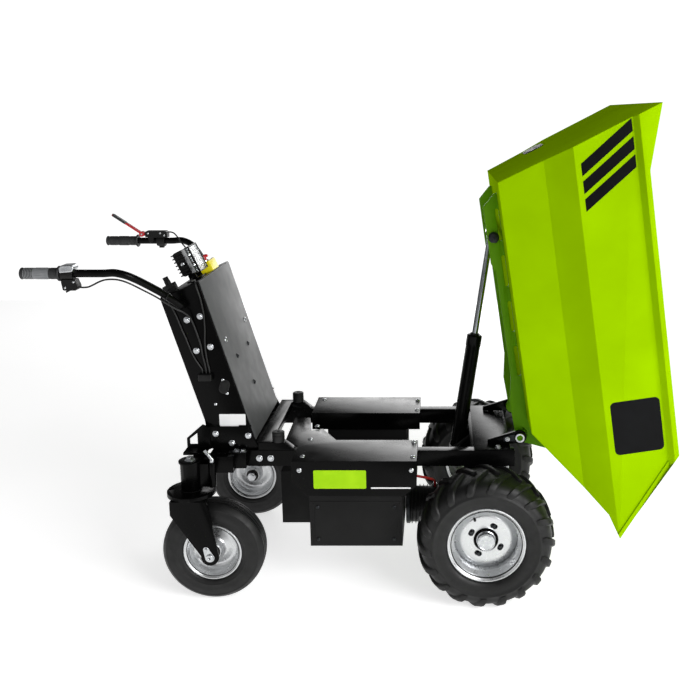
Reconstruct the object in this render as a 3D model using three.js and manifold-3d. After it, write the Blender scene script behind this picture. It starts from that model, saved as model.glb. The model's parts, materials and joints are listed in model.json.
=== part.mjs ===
// A walk-behind electric site dumper with its tub tipped forward.
// Millimetres and degrees. X runs forward, Y to the left, Z up. While the pieces are made, X = 0 is the
// drive axle, Y = 0 the middle plane and Z = 0 the floor; at the end the whole machine is centred on X.
import * as THREE from 'three';
import { mergeVertices } from 'three/addons/utils/BufferGeometryUtils.js';
import Module from 'manifold-3d';

const wasm = await Module();
wasm.setup();

// ---- Driving dimensions ----
const SEAT = 0.3; // gap between two pieces that touch
const SHEET = 3; // thin sheet metal
const PLATE = 8; // flame-cut plate
const WHEEL_SIDES = 28; // facets round a drive wheel
const CASTER_SIDES = 24; // facets round a caster wheel

const DRIVE_TYRE_DIAMETER = 406;
const DRIVE_TYRE_WIDTH = 165;
const DRIVE_RIM_SEAT = 203; // rim diameter under the bead
const DRIVE_RIM_FLANGE = 228;
const DRIVE_RIM_WIDTH = 138;
const DRIVE_TRACK = 616;
const DISC_BACK = 24; // back of the rim's disc, outward of the wheel's middle plane
const HUB_CAP_DIAMETER = 52;
const AXLE_TUBE_DIAMETER = 60;
const MOTOR_DIAMETER = 112;
const GEARBOX_HALF_WIDTH = 55;
const GEARBOX_RAIL_GAP = 25;
const MOTOR_CASE_GAP = 6; // motor's rear end to the battery case
const HUB_INNER = 40; // hub's inner end behind the wheel's middle plane

const CASTER_TYRE_DIAMETER = 302;
const CASTER_TYRE_WIDTH = 90;
const CASTER_RIM_SEAT = 152;
const CASTER_RIM_FLANGE = 172;
const CASTER_RIM_WIDTH = 76;
const CASTER_TRACK = 560;
const CASTER_OFFSET = 62; // wheel axle ahead of the swivel axis
const SWIVEL_TUBE_DIAMETER = 58;
const TURNTABLE_DIAMETER = 140;
const TURNTABLE_TOP = 334;
const TURNTABLE_GAP = 0.6; // thrust washer space under the swivel tube
const FORK_TOP = 323;
const FORK_LEG_GAP = 15; // between the wheel and the single leg

const RAIL_WIDTH = 30;
const RAIL_HEIGHT = 50;
const RAIL_ABOVE_TYRE = 19; // rail top over the top of the drive tyre
const RAIL_TRACK = 380;
const CROSS_TUBE_WIDTH = 40;
const CROSS_TUBE_HEIGHT = 25;
const BUFFER_DIAMETER = 37;
const BUFFER_GAP = 1; // lowered tub floor over the rubber

const COVER_WIDTH = 172;
const COVER_INSET = 50; // cover's inner edge inside the rail
const COVER_DROP = 108;
const BATTERY_CASE_BOTTOM = 158;
const BATTERY_TYRE_GAP = 42;
const COVER_TYRE_OVERLAP = 1; // cover front edge over the tyre's rear edge

const TUB_FLOOR_LENGTH = 740;
const TUB_FLOOR_WIDTH = 528;
const TUB_FOLD_HEIGHT = 129;
const TUB_FOLD_WIDTH = 588;
const TUB_SHOULDER_HEIGHT = 207;
const TUB_SHOULDER_WIDTH = 687;
const TUB_RIM_HEIGHT = 371;
const TUB_LIP_HEIGHT = 29;
const TUB_LIP_OVERHANG = 18;
const TUB_BACK_HEIGHT = 450;
const TUB_BACK_LEAN = 18.8;
const SPOUT_KINK_AHEAD = 255;
const SPOUT_KINK_HEIGHT = 187;
const SPOUT_AHEAD = 325;
const SPOUT_HEIGHT = 208;
const RIM_FRONT_AHEAD = 89;

const PIVOT_X = 110;
const PIVOT_ABOVE_RAIL = 25;
const PIVOT_BELOW_FLOOR = 32;
const PIVOT_AHEAD_OF_FLOOR = 46;
const TIP_ANGLE = 81.5;
const TOWER_CLEARANCE = 10; // lowered tub to tower
const BRACKET_INNER_Y = 150;
const BRACKET_THICKNESS = 10;
const UNDERFRAME_INNER_Y = 128;
const PIN_DIAMETER = 28;

const ROD_PIN_BACK = 572; // behind the floor's front edge
const ROD_PIN_BELOW = 26;
const CYLINDER_BASE_X = -80;
const CYLINDER_BASE_BELOW_RAIL = 75;
const BARREL_DIAMETER = 48;
const BARREL_LENGTH = 388;
const ROD_DIAMETER = 19;
const ROD_BURIED = 30; // rod length still in the barrel when fully out
const ROD_EYE_DIAMETER = 34;
const ROD_EYE_WIDTH = 26;
const CYLINDER_PIN_DIAMETER = 20;

const TOWER_WIDTH = 370;
const TOWER_LEAN = 16.7;
const TOWER_TOP = 940;
const TOWER_DEPTH = 125;
const TOWER_FOOT_HEIGHT = 26; // tower's lower front edge over the rail
const BASE_PLATE_HEIGHT = 70;

const BAR_DIAMETER = 22;
const GRIP_Y = 322;
const GRIP_Z = 988;
const GRIP_LENGTH = 111;
const GRIP_DIAMETER = 33;
const BOSS_REACH = 398; // bar's boss on the tower ahead of the grip's end
const BOSS_DROP = 115; // boss below the grip
const BOSS_OUTER_Y = 203;
const GRIP_ENDS = 5; // thickness of the grip's closed end and of its collar
const COLLAR_LIFT = 5; // collar's edge over the grip
const THROTTLE_REACH = 113; // throttle ahead of the grip's end
const BRAKE_REACH = 138; // brake housing's rear end ahead of the grip's end
const BRAKE_LENGTH = 76;
const ENTRY_HEIGHT = 22; // hooded cable entry on the tower's side
const ENTRY_TOP = 662;
const ENTRY_DEPTH = 18;
const CABLE_RADIUS = 2.5;
const SWITCH_CABLE_RADIUS = 2;
const MOTOR_CABLE_RADIUS = 4;
const GRIP_BEHIND_TOWER = 449; // grip's end behind the tower's top front edge

// ---- Places worked out from the driving dimensions ----
const DRIVE_RADIUS = DRIVE_TYRE_DIAMETER / 2;
const CASTER_RADIUS = CASTER_TYRE_DIAMETER / 2;
const RAIL_TOP = DRIVE_TYRE_DIAMETER + RAIL_ABOVE_TYRE;
const RAIL_BOTTOM = RAIL_TOP - RAIL_HEIGHT;
const PIVOT_Z = RAIL_TOP + PIVOT_ABOVE_RAIL;
const RAIL_Y = RAIL_TRACK / 2;
const RAIL_INNER_Y = RAIL_Y - RAIL_WIDTH / 2;
const RAIL_OUTER_Y = RAIL_Y + RAIL_WIDTH / 2;
const FLOOR_ORIGIN_X = PIVOT_X - PIVOT_AHEAD_OF_FLOOR; // floor's front edge with the tub lowered
const FLOOR_Z = PIVOT_Z + PIVOT_BELOW_FLOOR;
const BACK_SLOPE = Math.tan(THREE.MathUtils.degToRad(TUB_BACK_LEAN));
const TUB_BACK_TOP_U = -TUB_FLOOR_LENGTH - TUB_BACK_HEIGHT * BACK_SLOPE;
const TOWER_SLOPE = Math.tan(THREE.MathUtils.degToRad(TOWER_LEAN));
const TOWER_FOOT_Z = RAIL_TOP + TOWER_FOOT_HEIGHT;
const TOWER_FOOT_X = towerFrontX(TOWER_FOOT_Z);
const CROSS_TUBE_FRONT = TOWER_FOOT_X + 53;
const CROSS_TUBE_REAR = CROSS_TUBE_FRONT - CROSS_TUBE_WIDTH;
const CROSS_TUBE_TOP = RAIL_TOP + CROSS_TUBE_HEIGHT;
const RAIL_FRONT = PIVOT_X - 18;
const RAIL_REAR = TOWER_FOOT_X - 20;
const SWIVEL_X = TOWER_FOOT_X - 172;
const SWIVEL_Y = CASTER_TRACK / 2;
const REAR_BEAM_HALF = SWIVEL_Y - 55;
const CASTER_LEG_Y = SWIVEL_Y + CASTER_TYRE_WIDTH / 2 + FORK_LEG_GAP;
const COVER_REAR = TOWER_FOOT_X + 128;
const COVER_FRONT = -DRIVE_RADIUS + COVER_TYRE_OVERLAP;
const COVER_TOP = RAIL_TOP + SHEET;
const COVER_BOTTOM = RAIL_TOP + SHEET - COVER_DROP;
const COVER_INNER_Y = RAIL_INNER_Y - COVER_INSET;
const COVER_OUTER_Y = COVER_INNER_Y + COVER_WIDTH;
const MOTOR_Y = GEARBOX_HALF_WIDTH + GEARBOX_RAIL_GAP - RAIL_INNER_Y;
const GRIP_REAR_X = towerFrontX(TOWER_TOP) - GRIP_BEHIND_TOWER;
const CASE_FRONT = -DRIVE_RADIUS - BATTERY_TYRE_GAP;
const CASE_REAR = COVER_REAR + 48;
const CYLINDER_BASE_Z = RAIL_TOP - CYLINDER_BASE_BELOW_RAIL;

function towerFrontX(z) {
  const topZ = FLOOR_Z + TUB_BACK_HEIGHT;
  const topX = FLOOR_ORIGIN_X + TUB_BACK_TOP_U - TOWER_CLEARANCE;
  return topX - (z - topZ) * TOWER_SLOPE;
}

// ---- Materials ----
function paint(name, color, roughness, metalness = 0) {
  return new THREE.MeshStandardMaterial({ name, color, roughness, metalness });
}

const lime = () => paint('lime_paint', 0x9bd000, 0.35);
const frameBlack = () => paint('frame_black', 0x17181a, 0.35);
const caseBlack = () => paint('case_black', 0x1e1f20, 0.7);
const towerGrey = () => paint('tower_grey', 0x3a3c3e, 0.45);
const rubber = () => paint('rubber', 0x17181a, 0.9);
const gripRubber = () => paint('grip_rubber', 0x2a2b2c, 0.85);
const silver = () => paint('silver_rim', 0xb9bcbe, 0.35, 0.8);
const chrome = () => paint('chrome', 0xd4d6d8, 0.12, 1);
const plastic = () => paint('black_plastic', 0x141516, 0.5);
const lensGlass = () => paint('lens', 0xe4e8ea, 0.15);
const safetyYellow = () => paint('safety_yellow', 0xf2de18, 0.4);
const safetyRed = () => paint('safety_red', 0xc81a22, 0.35);
const cableBlack = () => paint('cable_black', 0x101112, 0.6);
const cableRed = () => paint('cable_red', 0x9a1f1f, 0.5);

// ---- Shape helpers ----
function box(x0, x1, y0, y1, z0, z1) {
  const geometry = new THREE.BoxGeometry(x1 - x0, y1 - y0, z1 - z0);
  return geometry.translate((x0 + x1) / 2, (y0 + y1) / 2, (z0 + z1) / 2);
}

function shapeOf(points) {
  return new THREE.Shape(points.map(([x, y]) => new THREE.Vector2(x, y)));
}

// An outline of [x, z] points made thick along Y.
function slabY(points, y0, y1) {
  const geometry = new THREE.ExtrudeGeometry(shapeOf(points), { depth: y1 - y0, bevelEnabled: false });
  return geometry.rotateX(Math.PI / 2).translate(0, y1, 0);
}

// An outline of [x, y] points made thick along Z.
function slabZ(points, z0, z1) {
  const geometry = new THREE.ExtrudeGeometry(shapeOf(points), { depth: z1 - z0, bevelEnabled: false });
  return geometry.translate(0, 0, z0);
}

// An outline of [y, z] points made thick along X.
function slabX(points, x0, x1) {
  const geometry = new THREE.ExtrudeGeometry(shapeOf(points), { depth: x1 - x0, bevelEnabled: false });
  return geometry.rotateX(Math.PI / 2).rotateZ(Math.PI / 2).translate(x0, 0, 0);
}

function rodY(radius, y0, y1, x = 0, z = 0, sides = 24) {
  return new THREE.CylinderGeometry(radius, radius, y1 - y0, sides).translate(x, (y0 + y1) / 2, z);
}

function rodZ(radius, z0, z1, x = 0, y = 0, sides = 24) {
  const geometry = new THREE.CylinderGeometry(radius, radius, z1 - z0, sides).rotateX(Math.PI / 2);
  return geometry.translate(x, y, (z0 + z1) / 2);
}

function rodX(radius, x0, x1, y = 0, z = 0, sides = 24) {
  const geometry = new THREE.CylinderGeometry(radius, radius, x1 - x0, sides).rotateZ(Math.PI / 2);
  return geometry.translate((x0 + x1) / 2, y, z);
}

// A closed section of [radius, y] points turned about the Y axis. LatheGeometry wants the section
// clockwise, so one that runs the other way is turned round first.
function ringY(points, sides) {
  const section = points.map(([r, y]) => new THREE.Vector2(r, y));
  if (THREE.ShapeUtils.area(section) < 0) section.reverse();
  return new THREE.LatheGeometry([...section, section[0]], sides);
}

function tube(points, radius, sides, stepLength) {
  const corners = points.map(([x, y, z]) => new THREE.Vector3(x, y, z));
  const curve = new THREE.CatmullRomCurve3(corners, false, 'centripetal');
  const section = new THREE.Shape();
  for (let i = 0; i < sides; i += 1) {
    const angle = (i / sides) * 2 * Math.PI;
    const place = [radius * Math.cos(angle), radius * Math.sin(angle)];
    if (i === 0) section.moveTo(...place);
    else section.lineTo(...place);
  }
  const steps = Math.min(80, Math.ceil(curve.getLength() / stepLength));
  return new THREE.ExtrudeGeometry(section, { steps, extrudePath: curve, bevelEnabled: false });
}

// Points on an arc, from one angle to another in degrees.
function arc(centreX, centreZ, radius, fromDegrees, toDegrees, steps) {
  const points = [];
  for (let i = 0; i <= steps; i += 1) {
    const angle = THREE.MathUtils.degToRad(fromDegrees + ((toDegrees - fromDegrees) * i) / steps);
    points.push([centreX + radius * Math.cos(angle), centreZ + radius * Math.sin(angle)]);
  }
  return points;
}

// A convex outline with every edge moved inwards by a distance.
function insetOutline(points, distance) {
  const corners = points.map(([x, z]) => new THREE.Vector2(x, z));
  if (THREE.ShapeUtils.area(corners) < 0) corners.reverse();
  const edges = corners.map((corner, i) => {
    const along = corners[(i + 1) % corners.length].clone().sub(corner).normalize();
    const inward = new THREE.Vector2(-along.y, along.x);
    return { start: corner.clone().addScaledVector(inward, distance), along };
  });
  return edges.map((edge, i) => {
    const before = edges[(i + edges.length - 1) % edges.length];
    const between = edge.start.clone().sub(before.start);
    const run = between.cross(edge.along) / before.along.cross(edge.along);
    return before.start.clone().addScaledVector(before.along, run).toArray();
  });
}

function toSolid(geometry) {
  const bare = geometry.clone();
  bare.deleteAttribute('normal');
  bare.deleteAttribute('uv');
  const merged = mergeVertices(bare, 1e-4);
  const vertProperties = Float32Array.from(merged.attributes.position.array);
  const triVerts = Uint32Array.from(merged.index.array);
  return new wasm.Manifold(new wasm.Mesh({ numProp: 3, vertProperties, triVerts }));
}

function toGeometry(solid) {
  const mesh = solid.getMesh();
  const geometry = new THREE.BufferGeometry();
  geometry.setAttribute('position', new THREE.BufferAttribute(Float32Array.from(mesh.vertProperties), 3));
  geometry.setIndex(new THREE.BufferAttribute(Uint32Array.from(mesh.triVerts), 1));
  geometry.computeVertexNormals();
  return geometry;
}

function join(...geometries) {
  return toGeometry(geometries.map(toSolid).reduce((all, next) => all.add(next)));
}

function cut(geometry, ...tools) {
  return toGeometry(tools.map(toSolid).reduce((left, tool) => left.subtract(tool), toSolid(geometry)));
}

function overlap(first, second) {
  return toGeometry(toSolid(first).intersect(toSolid(second)));
}

function add(parent, name, geometry, material) {
  const mesh = new THREE.Mesh(geometry, material);
  mesh.name = name;
  parent.add(mesh);
  return mesh;
}

// side is 1 on the left and -1 on the right; this puts the smaller Y first.
function bothWays(side, inner, outer) {
  return side > 0 ? [inner, outer] : [-outer, -inner];
}

const SIDES = [['left', 1], ['right', -1]];

// ---- Chassis ----
// Each rail carries a welded hanger with a bore for the axle tube.
function addRails(chassis) {
  const foot = arc(0, DRIVE_RADIUS, 50, 180, 360, 12);
  const hangerOutline = [[-60, RAIL_BOTTOM + 1], ...foot, [60, RAIL_BOTTOM + 1]];
  for (const [label, side] of SIDES) {
    const railY = bothWays(side, RAIL_INNER_Y, RAIL_OUTER_Y);
    const rail = box(RAIL_REAR, RAIL_FRONT, ...railY, RAIL_BOTTOM, RAIL_TOP);
    const [y0, y1] = bothWays(side, RAIL_INNER_Y + 4, RAIL_OUTER_Y - 4);
    const hanger = slabY(hangerOutline, y0, y1);
    const bore = rodY(AXLE_TUBE_DIAMETER / 2 + SEAT, y0 - 1, y1 + 1, 0, DRIVE_RADIUS);
    add(chassis, `rail_${label}`, cut(join(rail, hanger), bore), frameBlack());
  }
}

function addRearBeam(chassis) {
  const rear = SWIVEL_X + 45;
  const front = RAIL_REAR - SEAT;
  const beam = box(rear, front, -REAR_BEAM_HALF, REAR_BEAM_HALF, RAIL_BOTTOM, RAIL_TOP);
  add(chassis, 'rear_beam', beam, frameBlack());
}

// A tube across the rails, with a sloping foot ahead of it on each rail under a rubber buffer.
function addCrossTube(chassis) {
  const bottom = RAIL_TOP + SEAT;
  const top = CROSS_TUBE_TOP;
  const start = CROSS_TUBE_FRONT - 1;
  const footEnd = CROSS_TUBE_FRONT + 66;
  const outline = [
    [start, bottom], [footEnd, bottom], [footEnd, bottom + 4], [CROSS_TUBE_FRONT + 39, top], [start, top],
  ];
  const across = box(CROSS_TUBE_REAR, CROSS_TUBE_FRONT, -RAIL_OUTER_Y, RAIL_OUTER_Y, bottom, top);
  const leftFoot = slabY(outline, RAIL_INNER_Y, RAIL_OUTER_Y);
  const rightFoot = slabY(outline, -RAIL_OUTER_Y, -RAIL_INNER_Y);
  add(chassis, 'rear_cross_tube', join(across, leftFoot, rightFoot), frameBlack());
  for (const [label, side] of SIDES) {
    const x = CROSS_TUBE_FRONT + 1.5 + BUFFER_DIAMETER / 2;
    const buffer = rodZ(BUFFER_DIAMETER / 2, top + SEAT, FLOOR_Z - BUFFER_GAP, x, side * RAIL_Y, 20);
    add(chassis, `rubber_buffer_${label}`, buffer, rubber());
  }
}

function addFrontDeck(chassis) {
  const rear = CYLINDER_BASE_X + 50;
  const front = PIVOT_X - 30;
  const plate = box(rear, front, -RAIL_OUTER_Y, RAIL_OUTER_Y, RAIL_TOP + SEAT, COVER_TOP);
  add(chassis, 'front_deck', plate, frameBlack());
}

function hingeBracketOutline() {
  const bottom = COVER_TOP + SEAT;
  const rear = PIVOT_X - 98;
  const eye = arc(PIVOT_X, PIVOT_Z, 21, 100, -100, 14);
  const front = [[PIVOT_X - 32, bottom], [PIVOT_X - 8, PIVOT_Z - 20]];
  return [[rear, bottom], ...front, ...eye.reverse(), [rear, bottom + 13]];
}

function addHingeBrackets(chassis) {
  for (const [label, side] of SIDES) {
    const [y0, y1] = bothWays(side, BRACKET_INNER_Y, BRACKET_INNER_Y + BRACKET_THICKNESS);
    const plate = slabY(hingeBracketOutline(), y0, y1);
    const bore = rodY(PIN_DIAMETER / 2 + SEAT, y0 - 1, y1 + 1, PIVOT_X, PIVOT_Z, 20);
    add(chassis, `hinge_bracket_${label}`, cut(plate, bore), frameBlack());
  }
}

function addCylinderBracket(chassis) {
  const x = CYLINDER_BASE_X;
  const z = CYLINDER_BASE_Z;
  const beamTop = RAIL_TOP - 4;
  const eye = arc(x, z, 24, 120, 270, 10);
  const outline = [[x + 75, z - 24], [x + 75, beamTop - 3], [x + 45, beamTop - 3], ...eye];
  const half = RAIL_INNER_Y - SEAT;
  const beam = box(x + 40, x + 75, -half, half, RAIL_BOTTOM, beamTop);
  const inner = BARREL_DIAMETER / 2 + 2;
  const leftCheek = slabY(outline, inner, inner + PLATE);
  const rightCheek = slabY(outline, -inner - PLATE, -inner);
  const pin = rodY(CYLINDER_PIN_DIAMETER / 2, -inner - PLATE - 6, inner + PLATE + 6, x, z);
  add(chassis, 'cylinder_bracket', join(beam, leftCheek, rightCheek, pin), frameBlack());
}

function coverGeometry(side) {
  const topY = bothWays(side, COVER_INNER_Y, COVER_OUTER_Y);
  const top = box(COVER_REAR, COVER_FRONT, ...topY, RAIL_TOP + SEAT, COVER_TOP);
  const skirtOutline = [
    [COVER_REAR, COVER_TOP - 1], [COVER_REAR, COVER_BOTTOM + 46], [COVER_REAR + 43, COVER_BOTTOM],
    [COVER_FRONT - 36, COVER_BOTTOM], [COVER_FRONT, COVER_BOTTOM + 30], [COVER_FRONT, COVER_TOP - 1],
  ];
  const skirt = slabY(skirtOutline, ...bothWays(side, COVER_OUTER_Y - SHEET, COVER_OUTER_Y));
  const innerSkirt = box(COVER_REAR, COVER_FRONT, ...bothWays(side, COVER_INNER_Y, COVER_INNER_Y + SHEET),
    RAIL_BOTTOM - 5, COVER_TOP - 1);
  const endY = bothWays(side, RAIL_OUTER_Y + 2, COVER_OUTER_Y - 1);
  const rearEnd = box(COVER_REAR, COVER_REAR + SHEET, ...endY, COVER_BOTTOM + 46, COVER_TOP - 1);
  const frontEnd = box(COVER_FRONT - SHEET, COVER_FRONT, ...endY, COVER_BOTTOM + 46, COVER_TOP - 1);
  return join(top, skirt, innerSkirt, rearEnd, frontEnd);
}

// The tab that runs from the right cover across the middle, behind the battery case.
function coverTab() {
  const y = -COVER_INNER_Y + SHEET;
  const outline = [
    [COVER_REAR, 3 - RAIL_INNER_Y],
    [COVER_REAR - 46, 26 - RAIL_INNER_Y],
    [COVER_REAR - 49, 80],
    [COVER_REAR + 2, 80],
    [COVER_REAR + 22, -39],
    [COVER_REAR + 57, -25],
    [COVER_REAR + 110, y],
    [COVER_REAR + 110, y - 20],
    [COVER_REAR + 6, y - 20],
    [COVER_REAR + 6, 3 - RAIL_INNER_Y],
  ];
  return slabZ(outline, RAIL_TOP + SEAT, COVER_TOP);
}

function addCovers(chassis) {
  add(chassis, 'side_cover_left', coverGeometry(1), frameBlack());
  add(chassis, 'side_cover_right', join(coverGeometry(-1), coverTab()), frameBlack());
}

// One case hangs under the rails: a box on each side and a lower, longer one between them.
function addBatteryCase(chassis) {
  const top = RAIL_BOTTOM - SEAT;
  const middleHalf = 137;
  const middleTop = CYLINDER_BASE_Z - 20;
  const boxes = [box(CASE_REAR - 110, CASE_FRONT, -middleHalf, middleHalf, BATTERY_CASE_BOTTOM, middleTop)];
  for (const [, side] of SIDES) {
    const lowerY = bothWays(side, middleHalf - 1, COVER_OUTER_Y - 7);
    const upperY = bothWays(side, middleHalf + 1, COVER_OUTER_Y - SHEET - 5);
    boxes.push(box(CASE_REAR, CASE_FRONT, ...lowerY, BATTERY_CASE_BOTTOM, COVER_BOTTOM - 1));
    boxes.push(box(CASE_REAR + 3, CASE_FRONT - 3, ...upperY, COVER_BOTTOM - 2, top));
  }
  add(chassis, 'battery_case', join(...boxes), caseBlack());
}

function addDriveline(chassis) {
  const half = DRIVE_TRACK / 2 - HUB_INNER - SEAT;
  const axle = rodY(AXLE_TUBE_DIAMETER / 2, -half, half, 0, DRIVE_RADIUS);
  const gearbox = rodY(75, MOTOR_Y - GEARBOX_HALF_WIDTH, MOTOR_Y + GEARBOX_HALF_WIDTH, 0, DRIVE_RADIUS, 28);
  const motor = rodX(MOTOR_DIAMETER / 2, CASE_FRONT + MOTOR_CASE_GAP, 0, MOTOR_Y, DRIVE_RADIUS, 28);
  add(chassis, 'drive_axle', join(axle, gearbox, motor), plastic());
}

function addCasterHousings(chassis) {
  const bottom = TURNTABLE_TOP + TURNTABLE_GAP;
  const pinX = SWIVEL_X + 64;
  for (const [label, side] of SIDES) {
    const y = side * SWIVEL_Y;
    const swivelTube = rodZ(SWIVEL_TUBE_DIAMETER / 2, bottom, RAIL_TOP - 4, SWIVEL_X, y, 32);
    const cap = rodZ(33, RAIL_TOP - 5, RAIL_TOP, SWIVEL_X, y, 32);
    const bolt = rodZ(9, RAIL_TOP - 1, RAIL_TOP + 9, SWIVEL_X, y, 6);
    const armY = bothWays(side, REAR_BEAM_HALF + SEAT, SWIVEL_Y - 24);
    const arm = box(SWIVEL_X, SWIVEL_X + 120, ...armY, RAIL_BOTTOM, RAIL_TOP);
    const gusset = box(SWIVEL_X + 20, pinX, y - 3, y + 3, bottom + 8, RAIL_TOP - 12);
    const guide = rodZ(11, bottom + 8, RAIL_TOP - 8, pinX, y, 20);
    add(chassis, `caster_housing_${label}`, join(swivelTube, cap, bolt, arm, gusset, guide), frameBlack());
    const pin = rodZ(7, RAIL_TOP - 8 + SEAT, RAIL_TOP + 2, pinX, y, 16);
    const handle = rodX(5, -4, 34, 0, 0, 12).rotateY(THREE.MathUtils.degToRad(52));
    handle.translate(pinX - 18, y, RAIL_TOP + 26);
    add(chassis, `lock_pin_${label}`, join(pin, handle), silver());
  }
}

// A windowed plate behind the tower's foot, with a flange out on to the caster's arm.
function casterBrace(side) {
  const z = RAIL_TOP + SEAT;
  const x = SWIVEL_X;
  const inner = TOWER_WIDTH / 2 + 5;
  const outer = [[x - 30, z], [x + 40, z], [x + 40, z + 70], [x + 18, z + 78], [x - 30, z + 36]];
  const window = [[x - 22, z + 16], [x + 2, z + 16], [x + 2, z + 52], [x - 22, z + 33]];
  const [y0, y1] = bothWays(side, inner, inner + PLATE);
  const web = cut(slabY(outer, y0, y1), slabY(window, y0 - 1, y1 + 1));
  const foot = box(x - 30, x + 36, ...bothWays(side, inner + 1, SWIVEL_Y - 36), z, z + PLATE);
  return join(web, foot);
}

// ---- Control tower ----
function towerOutline() {
  const rearBottomZ = TOWER_FOOT_Z + 64;
  const rearTopZ = TOWER_TOP - 53;
  return [
    [towerFrontX(TOWER_FOOT_Z), TOWER_FOOT_Z],
    [towerFrontX(TOWER_TOP), TOWER_TOP],
    [towerFrontX(rearTopZ) - TOWER_DEPTH - 5, rearTopZ],
    [towerFrontX(rearBottomZ) - TOWER_DEPTH - 5, rearBottomZ],
    [towerFrontX(rearBottomZ) - TOWER_DEPTH + 5, TOWER_FOOT_Z],
  ];
}

function addTower(chassis) {
  const half = TOWER_WIDTH / 2;
  const inside = slabY(insetOutline(towerOutline(), SHEET), -half + SHEET, half - SHEET);
  const [foot, , , , rearFoot] = towerOutline();
  const mouthX = [rearFoot[0] + 20, foot[0] - 20];
  const mouth = box(...mouthX, -half + 20, half - 20, TOWER_FOOT_Z - 5, TOWER_FOOT_Z + 5);
  add(chassis, 'tower_shell', cut(slabY(towerOutline(), -half, half), inside, mouth), frameBlack());
  const topZ = TOWER_TOP - 2;
  const gapX = SEAT / Math.cos(THREE.MathUtils.degToRad(TOWER_LEAN));
  const plateX = SHEET + gapX;
  const front = [
    [towerFrontX(TOWER_FOOT_Z) + gapX, TOWER_FOOT_Z], [towerFrontX(TOWER_FOOT_Z) + plateX, TOWER_FOOT_Z],
    [towerFrontX(topZ) + plateX, topZ], [towerFrontX(topZ) + gapX, topZ],
  ];
  add(chassis, 'tower_front_plate', slabY(front, -half + 4, half - 4), towerGrey());
}

function addTowerBase(chassis) {
  const z = RAIL_TOP + SEAT;
  const inner = TOWER_WIDTH / 2 + SEAT;
  const rear = TOWER_FOOT_X - 142;
  const front = CROSS_TUBE_REAR - 2;
  const top = z + BASE_PLATE_HEIGHT;
  const outline = [[rear, z], [front, z], [front, z + 10], [front - 30, top], [rear, top]];
  const left = slabY(outline, inner, inner + SHEET * 2);
  const right = slabY(outline, -inner - SHEET * 2, -inner);
  const floor = box(rear, front, -inner - 1, inner + 1, z, z + SHEET * 2);
  const post = box(rear + 10, rear + 70, -60, 60, z + 1, TOWER_FOOT_Z - SEAT);
  add(chassis, 'tower_base', join(left, right, floor, post, casterBrace(1), casterBrace(-1)), frameBlack());
}

// A frame on the tower's sloping top: local X climbs forward, local Z stands off it.
function towerTopGroup(chassis, along, y) {
  const rearTop = new THREE.Vector2(...towerOutline()[2]);
  const frontTop = new THREE.Vector2(...towerOutline()[1]);
  const place = rearTop.clone().lerp(frontTop, along);
  const group = new THREE.Group();
  group.position.set(place.x, y, place.y);
  group.rotation.y = -Math.atan2(frontTop.y - rearTop.y, frontTop.x - rearTop.x);
  chassis.add(group);
  return group;
}

function addWorkLight(chassis) {
  const group = towerTopGroup(chassis, 0.65, -46);
  const foot = box(-26, 26, -30, 30, SEAT, 22);
  const housing = box(-34, 22, -42, 42, 20, 102);
  const rimFrame = cut(box(21, 36, -46, 46, 14, 104), box(26, 40, -40, 40, 20, 98));
  add(group, 'work_light_housing', join(foot, housing, rimFrame), plastic());
  add(group, 'work_light_lens', box(26.3, 31, -39.7, 39.7, 20.3, 97.7), lensGlass());
}

function addEmergencyStop(chassis) {
  const group = towerTopGroup(chassis, 0.8, 40);
  add(group, 'emergency_stop_box', box(-24, 24, -36, 36, SEAT, 34), safetyYellow());
  const stem = rodZ(11, 34.3, 46, 0, 0, 20);
  const head = rodZ(19, 45, 56, 0, 0, 24);
  add(group, 'emergency_stop_button', join(stem, head), safetyRed());
}

function addKeySwitch(chassis) {
  const group = towerTopGroup(chassis, 0.25, -150);
  const body = box(-16, 16, -18, 18, SEAT, 26);
  const knob = rodZ(9, 25, 38, 0, 0, 20);
  const key = box(-8, 8, -2, 2, 37, 50);
  add(group, 'key_switch', join(body, knob, key), plastic());
}

// ---- Handlebars and controls ----
function barRoute(side) {
  return [
    [GRIP_REAR_X + GRIP_ENDS + 1, side * GRIP_Y, GRIP_Z],
    [GRIP_REAR_X + 150, side * GRIP_Y, GRIP_Z],
    [GRIP_REAR_X + 228, side * GRIP_Y, GRIP_Z],
    [GRIP_REAR_X + 262, side * GRIP_Y, GRIP_Z + 1],
    [GRIP_REAR_X + 300, side * (GRIP_Y - 14), GRIP_Z - 14],
    [GRIP_REAR_X + 355, side * (GRIP_Y - 72), GRIP_Z - 65],
    [GRIP_REAR_X + 376, side * (BOSS_OUTER_Y + 19), GRIP_Z - 91],
    [GRIP_REAR_X + BOSS_REACH + 4, side * BOSS_OUTER_Y, GRIP_Z - BOSS_DROP - 3],
  ];
}

function addHandlebars(chassis) {
  for (const [label, side] of SIDES) {
    const bar = tube(barRoute(side), BAR_DIAMETER / 2, 10, 26);
    const bossY = bothWays(side, TOWER_WIDTH / 2 + SEAT, BOSS_OUTER_Y);
    const boss = rodY(15, ...bossY, GRIP_REAR_X + BOSS_REACH, GRIP_Z - BOSS_DROP, 20);
    add(chassis, `handlebar_${label}`, join(bar, boss), frameBlack());
    const grip = gripGeometry().translate(GRIP_REAR_X, side * GRIP_Y, GRIP_Z);
    add(chassis, `grip_${label}`, grip, gripRubber());
  }
}

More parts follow.
